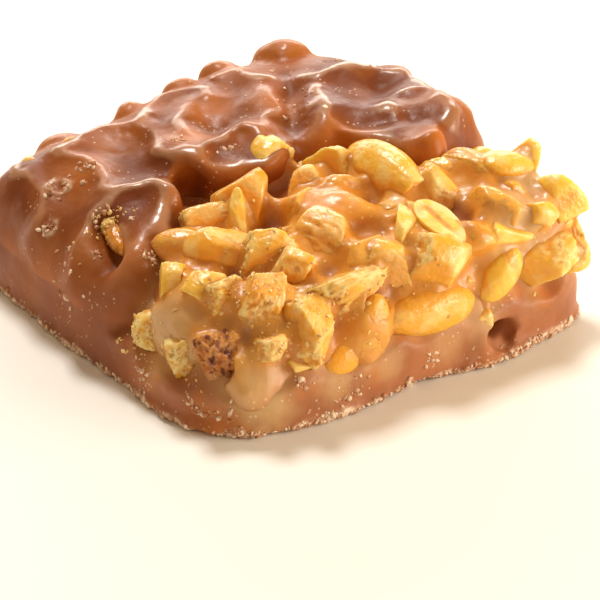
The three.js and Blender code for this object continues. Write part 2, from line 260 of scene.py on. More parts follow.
# Dents in the coat: half width, depth and the spots that each runs through
DENTS = (
    (1.7, 1.5, ((4.6, 3.4), (7.8, 8.7), (11.4, 14.2))),
    (2.0, 1.3, ((16.6, 2.6), (19.4, 6.0))),
    (2.2, 0.9, ((-2.0, 10.6), (0.2, 13.2))),
    (2.8, 0.7, ((-12.8, 9.0), (-11.2, 12.0))),
    (1.5, 1.0, ((9.6, 0.6), (12.2, -1.8), (16.0, -3.6))),
    (0.9, 2.4, ((-21.2, 3.0), (-22.0, 0.6), (-22.7, -2.0))),
)
# Passes that even the chocolate out to find its crests, which get painted sheen, and its valleys, which get
# painted shade, and how far those stand out or lie back
CREST_PASSES = 24
CREST_SPAN = (0.08, 0.19)
# How far behind its front edge the coat reaches full thickness, the same at its lip, and where the lip
# starts and ends along x
EDGE_RUN = 2.4
LIP_RUN = 1.0
LIP_START = (-14.0, -11.0)
LIP_END = (1.0, 4.0)
# How far the lip hangs over the filling, how far behind its edge it starts to lean out, which way it leans,
# and the share of the coat's depth above which it does
LIP_REACH = 2.4
LIP_LEAN = 3.0
LIP_AIM = (-0.25, -1, 0)
LIP_LEAN_FROM = 0.35
# x and half width of the lump that hangs over the filling at the coat's edge
LUMPED_EDGE = 13.6
LUMPED_WIDTH = 2.5
# Ring marks that burst bubbles left on the coat: middle, ring radius and rim height
BUBBLE_RINGS = (
    ((-21.8, 13.3, 14.6), 1.3, 0.32),
    ((-24.9, 9.6, 12.1), 1.0, 0.22),
    ((9.5, 20.5, 18.3), 0.9, 0.2),
    ((24.5, 10.0, 12.0), 1.2, 0.3),
    ((-12.0, 25.5, 9.0), 1.1, 0.3),
)
# Spots on the coat where crumbs stick: middle, spread and count
CRUMB_SPOTS = (
    ((-18.3, 12.7, 15.9), 1.3, 40), ((-21.8, 13.3, 14.6), 1.6, 26), ((-24.9, 9.6, 12.1), 1.4, 22),
    ((-22.3, 4.0, 14.6), 1.2, 24), ((-24.6, 0.5, 12.6), 1.0, 14), ((-21.2, -5.0, 14.3), 0.9, 60),
    ((-19.7, 0.7, 15.4), 0.3, 6), ((-24.0, -8.0, 10.0), 1.6, 26), ((-25.0, 4.0, 8.0), 4.0, 30),
    ((8.0, 9.0, 18.5), 5.0, 30), ((-8.0, 9.2, 17.5), 1.0, 22), ((-4.0, 3.6, 17.8), 1.2, 12),
    ((16.0, 12.0, 18.5), 6.0, 30), ((0.0, 26.0, 9.0), 7.0, 40), ((26.0, 8.0, 9.0), 7.0, 40),
    ((-18.6, -24.9, 6.0), 1.2, 30), ((-15.4, -25.9, 5.6), 0.8, 14), ((-24.2, -19.2, 2.8), 1.6, 40),
    ((-22.6, -21.2, 2.6), 1.6, 40), ((-25.5, -10.8, 3.8), 1.6, 40), ((-9.0, -26.0, 3.0), 2.0, 30),
    ((2.0, -26.0, 3.0), 1.4, 24),
)
# Holes in the plate's wall: middle and half sizes
WALL_HOLES = (
    ((11.4, -24.8, 3.1), (1.7, 3.0, 1.15)),
    ((11.5, -26.9, 3.1), (2.6, 2.0, 1.8)),
)


def from_display(red, green, blue):
    """A colour given as it shows on a screen, 0 to 255, turned into linear light."""
    def linear(value):
        value /= 255
        return value / 12.92 if value <= 0.04045 else ((value + 0.055) / 1.055) ** 2.4
    return (linear(red), linear(green), linear(blue), 1.0)


def length_setting(name, description, millimetres):
    return FloatProperty(
        name=name, description=description, default=millimetres * MM, min=0, unit="LENGTH", precision=5
    )


def count_setting(name, description, count):
    return IntProperty(name=name, description=description, default=count, min=0)


def colour_setting(name, description, red, green, blue):
    return FloatVectorProperty(
        name=name, description=description, default=from_display(red, green, blue),
        size=4, min=0, max=1, subtype="COLOR",
    )


class ClusterSizes(bpy.types.PropertyGroup):
    """Sizes of the cluster that can be changed"""
    plate_top: length_setting("Plate top", "Height of the chocolate plate's top face", 4.4)
    core_half_x: length_setting("Core half width", "Half the caramel's width", 23.8)
    core_half_y: length_setting("Core half depth", "Half the caramel's depth", 24.6)
    core_rise: length_setting("Core rise", "Height of the caramel over the plate", 11.2)
    coat_thickness: length_setting("Coat thickness", "Chocolate over the caramel's back half", 1.6)
    coat_grain: length_setting("Coat grain", "Finest form that the chocolate keeps", 0.32)
    caramel_grain: length_setting("Caramel grain", "Finest form that the caramel keeps", 0.34)
    crumb: length_setting("Crumb", "Usual size of a crumb", 0.45)
    rim_crumbs: count_setting("Rim crumbs", "Crumbs tried along the plate's foot", 3800)
    nut_crumbs: count_setting("Nut crumbs", "Crumbs tried on the filling", 260)
    break_crumbs: count_setting("Break crumbs", "Crumbs on each broken nut", 60)


class ClusterColours(bpy.types.PropertyGroup):
    """Colours of the cluster that can be changed"""
    chocolate: colour_setting("Chocolate", "Milk chocolate where it is thick", 146, 77, 33)
    # Also painted as shade in the coat's hollows and valleys
    chocolate_deep: colour_setting("Deep chocolate", "Milk chocolate in its darker patches", 116, 55, 24)
    chocolate_thin: colour_setting("Thin chocolate", "Milk chocolate that a nut shines through", 208, 120, 42)
    chocolate_bloom: colour_setting("Bloom", "Milk chocolate where it is rubbed pale", 182, 112, 58)
    # Painted sheen along the coat's crests
    chocolate_sheen: colour_setting("Chocolate sheen", "Milk chocolate along its crests", 202, 154, 112)
    # Painted light low on the front wall; also the paler steep low flanks, and caramel where it meets the
    # chocolate
    chocolate_wall: colour_setting("Chocolate wall", "Milk chocolate low on the front wall", 198, 130, 90)
    crumbled: colour_setting("Crumbled chocolate", "Broken edges and crumbs", 255, 230, 200)
    caramel: colour_setting("Caramel", "Caramel where it is thin", 222, 164, 84)
    caramel_deep: colour_setting("Deep caramel", "Caramel where it is thick", 196, 124, 46)
    # Painted shade deep between the nuts
    caramel_shade: colour_setting("Dark caramel", "Caramel deep between the nuts", 142, 70, 22)
    caramel_milky: colour_setting("Milky caramel", "Caramel where it is pale and milky", 216, 176, 122)
    nut: colour_setting("Nut", "Roasted peanut", 255, 206, 82)
    nut_deep: colour_setting("Deep nut", "Darker roasted peanut", 246, 164, 40)
    nut_broken: colour_setting("Broken nut", "Broken face of a peanut", 255, 224, 148)
    nut_toasted: colour_setting("Toasted nut", "Toasted edges of a peanut", 176, 96, 32)
    floor: colour_setting("Floor", "Pale floor", 252, 250, 244)


# Seeded draws, as in the solids

class Draws:
    """Numbers from 0 to 1 that come out the same on every run."""

    def __init__(self, seed):
        self.state = seed

    def next(self):
        self.state = (self.state * 1664525 + 1013904223) % 2**32
        return self.state / 2**32

    def between(self, low, high):
        return low + (high - low) * self.next()


# The rounded form of the caramel, which the coat follows

SLOPE_STEP = 0.05
LEAST_LEVEL = 1e-9
LEAST_CLIMB = 1e-6


def core_form(sizes, grow=0.0, base=None):
    """The caramel's form in millimetres, grown by one amount on every side."""
    core_base = sizes.plate_top / MM + GAP
    if base is None:
        base = core_base
    rise = core_base + sizes.core_rise / MM + grow - base
    return Form(sizes.core_half_x / MM + grow, sizes.core_half_y / MM + grow, base, rise)


def dome_level(points, form):
    u = points[:, 0] / form.half_x
    v = points[:, 1] / form.half_y
    flat = np.hypot(u, v)
    flat = np.where(flat > 0, flat, 1)
    corner = CORNER_MEAN - CORNER_SKEW * u * v / flat**2
    profile = PROFILE_MEAN + (PROFILE_X * u + PROFILE_Y * v) / flat
    w = np.maximum(points[:, 2] - form.base, 0) / (form.rise * (1 + LEAN * u))
    plan = (np.abs(u) ** corner + np.abs(v) ** corner) ** (profile / corner)
    return (plan + w**profile) ** (1 / profile)


def onto_dome(points, form):
    points = np.atleast_2d(np.array(points, dtype=float))
    level = np.maximum(dome_level(points, form), LEAST_LEVEL)
    flat = points[:, :2] / level[:, None]
    height = np.maximum(points[:, 2] - form.base, 0) / (1 + LEAN * points[:, 0] / form.half_x) / level
    up = form.base + height * (1 + LEAN * flat[:, 0] / form.half_x)
    return np.column_stack((flat, up))


def dome_slope(points, form):
    """How a form's level changes at each point along x, y and z."""
    slope = np.empty_like(points)
    for axis in range(3):
        offset = np.zeros(3)
        offset[axis] = SLOPE_STEP
        slope[:, axis] = dome_level(points + offset, form) - dome_level(points - offset, form)
    return slope


def outward(points, form):
    points = np.atleast_2d(np.array(points, dtype=float))
    slope = dome_slope(points, form)
    return slope / np.linalg.norm(slope, axis=1)[:, None]


def dome_depth(points, form):
    """How deep each point lies under a form's surface."""
    climb = np.sum((dome_slope(points, form) / (2 * SLOPE_STEP)) ** 2, axis=1)
    return (1 - dome_level(points, form)) / np.sqrt(np.maximum(climb, LEAST_CLIMB))


def coat_edge(x):
    """y of the coat's front edge at x, eased from point to point."""
    x = np.asarray(x, dtype=float)
    stops_x, stops_y = np.array(COAT_EDGE, dtype=float).T
    index = np.clip(np.searchsorted(stops_x, x), 1, len(stops_x) - 1)
    share = np.clip((x - stops_x[index - 1]) / (stops_x[index] - stops_x[index - 1]), 0, 1)
    eased = share * share * (3 - 2 * share)
    return stops_y[index - 1] + (stops_y[index] - stops_y[index - 1]) * eased


def dome_spot(draws, form):
    """A random spot near a form, drawn as a turn and a climb."""
    turn = draws.next() * 2 * math.pi
    climb = draws.next()
    around = math.sqrt(1 - climb * climb)
    return (
        math.cos(turn) * around * form.half_x,
        math.sin(turn) * around * form.half_y,
        form.base + climb * form.rise,
    )


def coat_lumps(sizes):
    """The lumps that nuts make under the coat: those with a set place, and strewn ones."""
    coat = core_form(sizes, sizes.coat_thickness / MM, COAT_BASE)
    draws = Draws(SEED)
    lumps = [lump._replace(at=onto_dome(lump.at, coat)[0]) for lump in LUMPS]
    for _ in range(LUMP_TRIES):
        at = onto_dome(dome_spot(draws, coat), coat)[0]
        height = draws.between(*LUMP_HEIGHT)
        if min(np.linalg.norm(other.at - at) for other in lumps) > LUMP_SPACING:
            lumps.append(Lump(at, height))
    return lumps


def is_clear(at):
    """Whether a strewn nut may lie here: not under the coat, in a hollow or where bare caramel shows."""
    x, y, z = at
    if any(math.dist(at, middle) < radius + CAVE_ROOM for middle, radius in CAVES):
        return False
    below_lip = LIP_ROOM_SPAN[0] < x < LIP_ROOM_SPAN[1]
    if y > coat_edge(x) - (LIP_ROOM if below_lip else EDGE_ROOM):
        return False
    return not (x < BARE_FLANK[0] and y > BARE_FLANK[1] and z < BARE_FLANK[2])


def filling_nuts(sizes):
    """All nuts of the filling: the landmarks, and others strewn where there is room."""
    core = core_form(sizes)
    draws = Draws(SEED)
    nuts = [nut._replace(at=onto_dome(nut.at, core)[0]) for nut in LANDMARKS]
    for kind, tries, clearance, lengths, lifts in STREWN:
        for _ in range(tries):
            at = onto_dome(dome_spot(draws, core), core)[0]
            length = draws.between(*lengths)
            out = draws.between(*lifts)
            spin = draws.between(0, 360)
            pitch = draws.between(*STREWN_PITCH)
            roll = draws.between(*STREWN_ROLL)
            glaze = max(0.0, draws.between(*STREWN_GLAZE))
            gaps = [
                np.linalg.norm(other.at - at) - clearance * (other.length + length) / 2 for other in nuts
            ]
            if min(gaps) >= 0 and is_clear(at):
                nuts.append(Nut(kind, at, spin, length, out, pitch, roll, glaze=glaze))
    return nuts


# Meshes

ROUNDING = 0.5
HOLLOW_ROUGH = Ripple(0.35, 0.9, 2)


def place_of(bm_verts):
    return np.array([vert.co for vert in bm_verts])


def put(bm_verts, points):
    for vert, point in zip(bm_verts, points):
        vert.co = point


def new_object(bm, name):
    mesh = bpy.data.meshes.new(name)
    bm.to_mesh(mesh)
    bm.free()
    obj = bpy.data.objects.new(name, mesh)
    bpy.context.collection.objects.link(obj)
    return obj


def apply_modifiers(obj):
    graph = bpy.context.evaluated_depsgraph_get()
    mesh = bpy.data.meshes.new_from_object(obj.evaluated_get(graph))
    obj.modifiers.clear()
    old = obj.data
    obj.data = mesh
    bpy.data.meshes.remove(old)


def fuse(obj, grain, passes):
    """Melts overlapping shapes into one skin and rounds its corners and hollows."""
    remesh = obj.modifiers.new("melted", "REMESH")
    remesh.mode = "VOXEL"
    remesh.voxel_size = grain
    smooth = obj.modifiers.new("rounded", "SMOOTH")
    smooth.factor = ROUNDING
    smooth.iterations = passes
    apply_modifiers(obj)


def cut(obj, other, operation):
    boolean = obj.modifiers.new("cut", "BOOLEAN")
    boolean.solver = "MANIFOLD"
    boolean.operation = operation
    boolean.object = other
    apply_modifiers(obj)
    bpy.data.objects.remove(other)


def merge(obj, other):
    """Adds another object's mesh to this one."""
    bm = bmesh.new()
    bm.from_mesh(obj.data)
    bm.from_mesh(other.data)
    bm.to_mesh(obj.data)
    bm.free()
    bpy.data.objects.remove(other)


def mesh_points(mesh):
    flat = np.empty(len(mesh.vertices) * 3)
    mesh.vertices.foreach_get("co", flat)
    return flat.reshape(-1, 3)


def mesh_normals(mesh):
    flat = np.empty(len(mesh.vertices) * 3)
    mesh.vertex_normals.foreach_get("vector", flat)
    return flat.reshape(-1, 3)


def set_mesh_points(mesh, points):
    mesh.vertices.foreach_set("co", points.ravel())
    mesh.update()


def paint(mesh, name, values):
    """Keeps one value for each vertex as an attribute that the material reads."""
    attribute = mesh.attributes.new(name, "FLOAT", "POINT")
    attribute.data.foreach_set("value", np.asarray(values, dtype=np.float32))


def ripples(points, ripple):
    """Even random relief at each point."""
    values = np.zeros(len(points))
    size = ripple.size
    share = 1.0
    for _ in range(ripple.octaves):
        values += share * np.array([noise.noise(Vector(point)) for point in points / size])
        size /= 2
        share /= 2
    return ripple.height * values


def ease(values, low, high):
    """Values carried to 0 at the low end and 1 at the high end, with soft ends."""
    share = np.clip((values - low) / (high - low), 0, 1)
    return share * share * (3 - 2 * share)


def fade(distance, width):
    """1 at no distance, and soon 0 beyond the width."""
    return np.exp(-((distance / width) ** 2))


def standing_out(mesh, passes):
    """How far each vertex stands out from the surface evened over its neighbours."""
    points = mesh_points(mesh)
    ends = np.empty(2 * len(mesh.edges), dtype=np.int32)
    mesh.edges.foreach_get("vertices", ends)
    first, second = ends[0::2], ends[1::2]
    total = len(points)
    neighbours = np.bincount(ends, minlength=total)
    even = points.T
    for _ in range(passes):
        even = [
            (np.bincount(first, line[second], total) + np.bincount(second, line[first], total)) / neighbours
            for line in even
        ]
    return np.sum((points - np.column_stack(even)) * mesh_normals(mesh), axis=1)


def finish_piece(obj, material, node):
    """Scales a piece to metres, gives it its finish and ties it to the solids."""
    obj.data.transform(Matrix.Scale(MM, 4))
    obj.data.materials.clear()
    obj.data.materials.append(material)
    obj.data.polygons.foreach_set("use_smooth", np.ones(len(obj.data.polygons), dtype=bool))
    obj.data.update()
    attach(obj, "root")
    if node:
        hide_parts(node)


def add_dome(bm, form, subdivisions):
    """A rounded block with a flat underside, pulled from a ball."""
    made = bmesh.ops.create_icosphere(bm, subdivisions=subdivisions, radius=1)["verts"]
    ball = place_of(made)
    up = form.base + np.maximum(ball[:, 2], 0) * form.rise * (1 + LEAN * ball[:, 0])
    spots = np.column_stack((ball[:, 0] * form.half_x, ball[:, 1] * form.half_y, up))
    spots = onto_dome(spots, form)
    below = ball[:, 2] < 0
    spots[below, :2] *= np.hypot(ball[below, 0], ball[below, 1])[:, None]
    put(made, spots)


def cut_hollow(obj, middle, size):
    """Cuts a hollow with a rough ball."""
    bm = bmesh.new()
    made = bmesh.ops.create_icosphere(bm, subdivisions=4, radius=1)["verts"]
    ball = place_of(made)
    uneven = 1 + ripples(ball + middle, HOLLOW_ROUGH)
    put(made, middle + ball * uneven[:, None] * size)
    cut(obj, new_object(bm, "hollow"), "DIFFERENCE")


# A chopped nut: half sizes of its oval, and the sides where it may be broken, its flat inside first
OVAL = (0.7, 0.52, 0.46)
BREAK_SIDES = ((0, 0, -1), (-1, 0, 0.2), (1, 0, 0.2), (0, 1, 0.5), (0.2, -1, 0.5), (0.5, 0, 1))
# How much breaks tilt, how far they lie from the middle, and the share of them that is rough
BREAK_TILT = 0.4
BREAK_DEPTH = (0.24, 0.44)
ROUGH_SHARE = 0.6
# Chips along the edges between breaks: how near to an edge, in which patches, and how rough
CHIP_REACH = (0.92, 1.0)
CHIP_PATCHES = Ripple(1, 0.4, 2)
CHIP_SPAN = (-0.2, 0.3)
CHIP_ROUGH = 0.8
# How the sizes of chopped nuts vary, and how far each nut's pattern is shifted
CHOPPED_SIZES = (0.9, 1.25)
PATTERN_SHIFT = (-9, 9)
# Relief of a chopped nut: waves, flakes and their stretch, the level they stand out from, their height on
# whole and on broken faces, and how broken a very rough nut is all over
CHOPPED_WAVES = Ripple(0.02, 0.5)
FLAKES = Ripple(1, 0.3, 3)
FLAKE_STRETCH = (0.6, 1.3, 1.3)
FLAKE_LEVEL = 0.35
WHOLE_FLAKES = 0.015
BROKEN_FLAKES = 0.13
BROKEN_ALL_OVER = 0.5
# A half nut: how it narrows, its flat inside and the groove in that, and its chopped end
HALF_TAPER = (0.16, 0.1)
HALF_FLAT = -0.15
FLAT_SPAN = 0.04
GROOVE_DEPTH = 0.08
GROOVE_WIDTH = 0.08
GROOVE_ENDS = (0.1, 0.5)
HALF_WAVES = Ripple(0.02, 0.4, 3)
END_LEAN = 0.25
END_WAVES = Ripple(0.02, 0.3)
END_SPAN = 0.02
# How far a surface may face along x before a nut's turn is counted from y
FACING_X = 0.8


def chopped(ball, rng, breaks):
    """An oval with a flat inside and broken sides: its shape, 1 long, and its broken share."""
    faces = np.array(BREAK_SIDES)[:breaks + 1]
    faces[1:] += rng.normal(0, BREAK_TILT, (breaks, 3))
    faces /= np.linalg.norm(faces, axis=1)[:, None]
    depth = rng.uniform(*BREAK_DEPTH, breaks + 1)
    reach = np.column_stack((np.maximum(ball @ faces.T, 0) / depth, np.linalg.norm(ball / OVAL, axis=1)))
    second, first = np.partition(reach, -2, axis=1)[:, -2:].T
    chipped = ease(second / first, *CHIP_REACH) * ease(ripples(ball + faces[1], CHIP_PATCHES), *CHIP_SPAN)
    pull = reach ** CRISP
    total = pull.sum(axis=1)
    shape = ball * (total ** (-1 / CRISP))[:, None]
    low = shape.min(axis=0)
    high = shape.max(axis=0)
    shape = (shape - (low + high) / 2) / (high - low)
    rough = rng.uniform(0, 1, breaks) < ROUGH_SHARE
    return shape, np.maximum(pull[:, 1:-1][:, rough].sum(axis=1) / total, CHIP_ROUGH * chipped)


def nut_matrix(nut, form):
    """Turn and place of a nut: long side along the surface, thickness outwards."""
    kind = KINDS[nut.kind]
    out = Vector(outward(nut.at, form)[0])
    along = Vector((1, 0, 0)) if abs(out.x) < FACING_X else Vector((0, 1, 0))
    along = (along - out * along.dot(out)).normalized()
    along.rotate(Matrix.Rotation(math.radians(nut.spin), 3, out))
    across = out.cross(along)
    lift = nut.length * kind.thickness * (kind.proud - 0.5) + nut.out
    turn = Matrix((along, across, out)).transposed().to_4x4()
    raised = Matrix.Rotation(math.radians(-nut.pitch), 4, "Y")
    rolled = Matrix.Rotation(math.radians(nut.roll), 4, "X")
    return Matrix.Translation(Vector(nut.at) + out * lift) @ turn @ raised @ rolled


def nut_points(ball, nut, rng):
    """Shape of one nut, 1 long in its own frame, and the share of each point that is broken."""
    kind = KINDS[nut.kind]
    if nut.kind == "half":
        shape = ball / 2
        taper = 1 - HALF_TAPER[0] * ball[:, 0] - HALF_TAPER[1] * ball[:, 0] ** 2
        shape[:, 1:] *= taper[:, None]
        groove = GROOVE_DEPTH * fade(shape[:, 1], GROOVE_WIDTH) * ease(1 - np.abs(ball[:, 0]), *GROOVE_ENDS)
        flat = HALF_FLAT + groove
        shape[:, 2] = np.maximum(shape[:, 2], flat)
        end = 0.5 - nut.taper + END_LEAN * shape[:, 2] + ripples(ball, END_WAVES)
        inside = ease(flat + FLAT_SPAN - shape[:, 2], 0, FLAT_SPAN)
        broken = np.maximum(inside, ease(shape[:, 0] - end, -END_SPAN, 0.0))
        shape[:, 0] = np.minimum(shape[:, 0], end)
        rough = ripples(ball + rng.uniform(*PATTERN_SHIFT, 3), HALF_WAVES)
    else:
        shape, broken = chopped(ball, rng, kind.breaks)
        shape *= rng.uniform(*CHOPPED_SIZES, 3)
        shape[:, 1:] *= (1 - nut.taper * (shape[:, 0] + 0.5))[:, None]
        all_over = BROKEN_ALL_OVER * max(nut.rough - 1.0, 0.0)
        broken = np.clip(broken * min(nut.rough, 1.0) + all_over, 0, 1)
        flaky = FLAKE_LEVEL - np.abs(ripples(ball * FLAKE_STRETCH + rng.uniform(*PATTERN_SHIFT, 3), FLAKES))
        rough = ripples(ball, CHOPPED_WAVES) + (WHOLE_FLAKES + BROKEN_FLAKES * nut.rough * broken) * flaky
    shape = shape * (1 + rough)[:, None]
    return shape * (1, kind.width * nut.wide, kind.thickness * nut.thick), broken


def add_nut(bm, nut, form, subdivisions, rng, size=1.0):
    """Adds one nut to a mesh and gives back its vertices and the broken share of each."""
    made = bmesh.ops.create_icosphere(bm, subdivisions=subdivisions, radius=1)["verts"]
    shape, broken = nut_points(place_of(made), nut, rng)
    matrix = nut_matrix(nut, form)
    put(made, [matrix @ Vector(point) for point in shape * nut.length * size])
    return made, broken


def along_path(points, path):
    """Distance from each point to a path in plan."""
    nearest = np.full(len(points), np.inf)
    for start, end in zip(path, path[1:]):
        start = np.array(start)
        run = np.array(end) - start
        share = np.clip((points[:, :2] - start) @ run / (run @ run), 0, 1)
        foot = start + share[:, None] * run
        nearest = np.minimum(nearest, np.linalg.norm(points[:, :2] - foot, axis=1))
    return nearest


# Chocolate

# The plate: points of its outline, how far its underside stays back, and the steps its wall is drawn up in,
# each with a height, a step out and a raggedness, then the rounding of its top edge and the wall's last step
PLATE_POINTS = 260
UNDERSIDE_BACK = 0.5
PLATE_STEPS = ((0.3, 0.3, 0.5), (0.7, 0.6, 0.5), (1.1, 0.2, 0.4), (1.6, -0.3, 0.15), (2.6, -0.3, 0.05))
PLATE_EDGE = 0.7
PLATE_LAST_STEP = -0.1
RAGGED = Ripple(1, 1.3, 2)
WALL_WAVES = Ripple(0.25, 5.0)
WALL_WAVES_AT = 7.0
# How the coat's front edge wanders, and how much of that follows the height
EDGE_WANDER = Ripple(0.55, 2.6, 2)
EDGE_WANDER_RISE = 0.35
# The chocolate bank: half its field and the steps in it, height over the plate, waves of its top, fall
# outside the filling, underside, and how far it stands out from the filling and down to which height
BANK_FIELD = 32
BANK_STEPS = 150
BANK_RISE = 2.8
BANK_WAVES = Ripple(1.6, 4.5, 2)
BANK_FALL = 1.1
BANK_FALL_SPAN = (-2, 3)
BANK_FLOOR = 0.5
BANK_OUT = 1.8
BANK_BASE = 0.8
# The coat: its waves, how far it settles between lumps, the share of that left on them, how warped its
# lumps, crests and dents are, the rise over the plate in which these come in, and how deep its edge sinks in
COAT_WAVES = Ripple(0.35, 7.0, 2)
COAT_SETTLED = 0.8
COAT_SHARE_LEFT = 0.3
WARP = Ripple(1, 5.0, 2)
WARP_SHIFTS = (11, 47, 83)
LUMP_WARP = 0.9
CREST_WARP = 1.8
DENT_WARP = 0.6
COAT_COMES_IN = 4
EDGE_SINKS = 0.4
COAT_MELT = 0.4
# How much deeper than the caramel's bed the chocolate is hollowed
HOLLOW_DEEPER = 0.2
# Fine waves of the chocolate
FINE_WAVES = (Ripple(0.10, 3.1), Ripple(0.035, 0.9))
# Bubble rings: field around one, wobble, roughness, rim width, depth and width of the dent in it, all
# against its radius or height, and how crumbled the rim is
RING_FIELD = 3
RING_WOBBLE = Ripple(0.35, 1.6)
RING_ROUGH = Ripple(1.6, 0.6, 2)
RING_ROUGH_MEAN = 0.6
RING_ROUGH_MOST = 1.6
RING_WIDTH = 0.26
RING_DENT = 0.8
RING_DENT_WIDTH = 0.7
RING_CRUMBLED = 0.5
# The plate's crumbled foot: height, clumps along it and their stretch, fade at its top and towards flat
# faces, how far it stands out, and its grit
FOOT_HEIGHT = 1.0
FOOT_CLUMPS = Ripple(0.9, 3.2)
FOOT_STRETCH = (1, 1, 0.3)
FOOT_FADE = 0.4
FOOT_FACING = (0.98, 0.8)
FOOT_OUT = 0.05
GRIT = Ripple(1, 0.55, 2)
GRIT_HEIGHT = 0.18
GRIT_SPAN = (-0.3, 0.3)
# Chocolate that is thin over a nut: reach against the lump's width, share on a knob, least share on a lump,
# how much more there may be and in which steps, and the rise over the plate above which it shows
THIN_REACH = 1.4
KNOB_THIN = 0.9
LUMP_THIN = 0.35
LUMP_THIN_MORE = 0.65
THIN_STRIDE = 7
THIN_STEPS = 5
THIN_RISE = 2
# The coat's thin front: how far it faces the front, its reach behind the edge, where it starts and ends
# along x, and how thin it is
FRONT_FACING = (0.2, 0.7)
FRONT_REACH = 3.2
FRONT_FADE = 1.5
FRONT_START = (-16, -12)
FRONT_END = (1, 5)
FRONT_THIN = 0.65
# The front wall: rise over the plate, fade at its top, where it starts towards the front, how thin it is, and
# how much paler it is painted, as painted light where light falls on the front
WALL_RISE = 4
WALL_FADE = 2
WALL_FRONT = (4, 14)
WALL_THIN = 0.6
WALL_THIN_PATCHES = Ripple(1, 5.0, 2)
WALL_THIN_SPAN = (0, 0.6)
WALL_PALER = 0.75
WALL_PALER_PATCHES = Ripple(0.25, 3.0)
# Heights in which the painted sheen on crests comes in, rise over the plate of the coat, and depths in which
# the painted shade in hollows comes in
CREST_HEIGHTS = (10, 13.5)
COATED_RISE = 3
HOLLOW_DEPTHS = (-0.4, 1.2)
# Steep low flanks that are painted paler: share, top and fade, and how far they may face up and its fade
FLANK_PALER = 0.32
FLANK_TOP = 13
FLANK_FADE = 3
FLANK_FACING = 0.8
FLANK_FACING_FADE = 0.4


def plate_rim(angles):
    """Outline of the plate: squarish, with a notch, a bulge and a ripple."""
    c = np.cos(angles)
    s = np.sin(angles)
    corner = PLATE_CORNER - PLATE_CORNER_SKEW * c * s
    reach = (np.abs(c) ** corner + np.abs(s) ** corner) ** (-1 / corner)
    ripple = RIM_RIPPLE * np.sin(RIM_WAVES * angles)
    x = (PLATE_HALF[0] + ripple) * c * reach
    y = (PLATE_HALF[1] + ripple) * s * reach
    for middle, width, depth in RIM_BUMPS:
        y += np.where(s < 0, depth * np.exp(-(((x - middle) / width) ** 2)), 0)
    return np.column_stack((x, y))


def plate_object(sizes):
    """The plate, drawn up from its outline in steps with a foot that stands out unevenly."""
    top = sizes.plate_top / MM
    bm = bmesh.new()
    ring = bmesh.ops.create_circle(bm, cap_ends=True, segments=PLATE_POINTS, radius=1)["verts"]
    start = place_of(ring)
    angles = np.arctan2(start[:, 1], start[:, 0])
    rim = plate_rim(angles)
    around = np.column_stack((np.cos(angles), np.sin(angles)))
    level = np.zeros(PLATE_POINTS)
    ragged = ripples(np.column_stack((rim, level)), RAGGED)
    waves = ripples(np.column_stack((rim, level + WALL_WAVES_AT)), WALL_WAVES)
    put(ring, np.column_stack((rim - around * UNDERSIDE_BACK, level)))
    face = bm.faces[:][0]
    last_steps = ((top - PLATE_EDGE, PLATE_LAST_STEP, 0.0), (top, -PLATE_EDGE, 0.0))
    for height, step_out, rough in PLATE_STEPS + last_steps:
        made = bmesh.ops.extrude_face_region(bm, geom=[face])["geom"]
        verts = [item for item in made if isinstance(item, bmesh.types.BMVert)]
        face = next(item for item in made if isinstance(item, bmesh.types.BMFace))
        turn = np.arctan2(*place_of(verts)[:, 1::-1].T)
        order = [int(np.argmin(np.abs(np.angle(np.exp(1j * (angles - one)))))) for one in turn]
        offset = step_out + rough * ragged[order] + waves[order]
        flat = rim[order] + around[order] * offset[:, None]
        put(verts, np.column_stack((flat, np.full(len(verts), height))))
    bmesh.ops.recalc_face_normals(bm, faces=bm.faces)
    return new_object(bm, "plate")


def behind_edge(points):
    """How far each point lies behind the coat's uneven front edge."""
    along = points * (1, 0, EDGE_WANDER_RISE)
    return points[:, 1] - coat_edge(points[:, 0]) - ripples(along, EDGE_WANDER)


def bank_object(sizes):
    """Chocolate that the filling sinks into above the plate, with an uneven top."""
    bm = bmesh.new()
    made = bmesh.ops.create_grid(bm, x_segments=BANK_STEPS, y_segments=BANK_STEPS, size=BANK_FIELD)
    grid = made["verts"]
    spots = place_of(grid)
    core = core_form(sizes)
    outside = (dome_level(np.column_stack((spots[:, :2], 0 * spots[:, 2])), core) - 1) * core.half_x
    height = sizes.plate_top / MM + BANK_RISE + ripples(spots, BANK_WAVES)
    height -= BANK_FALL * np.clip(outside, *BANK_FALL_SPAN)
    for x, y, width_x, width_y, drop in BANK_GAPS:
        height -= drop * fade(spots[:, 0] - x, width_x) * fade(spots[:, 1] - y, width_y)
    put(grid, np.column_stack((spots[:, :2], height)))
    made = bmesh.ops.extrude_face_region(bm, geom=bm.faces[:])["geom"]
    for item in made:
        if isinstance(item, bmesh.types.BMVert):
            item.co.z = BANK_FLOOR
    bmesh.ops.recalc_face_normals(bm, faces=bm.faces)
    block = new_object(bm, "bank_space")
    bm = bmesh.new()
    add_dome(bm, core_form(sizes, BANK_OUT, BANK_BASE), subdivisions=6)
    bank = new_object(bm, "bank")
    cut(bank, block, "INTERSECT")
    return bank


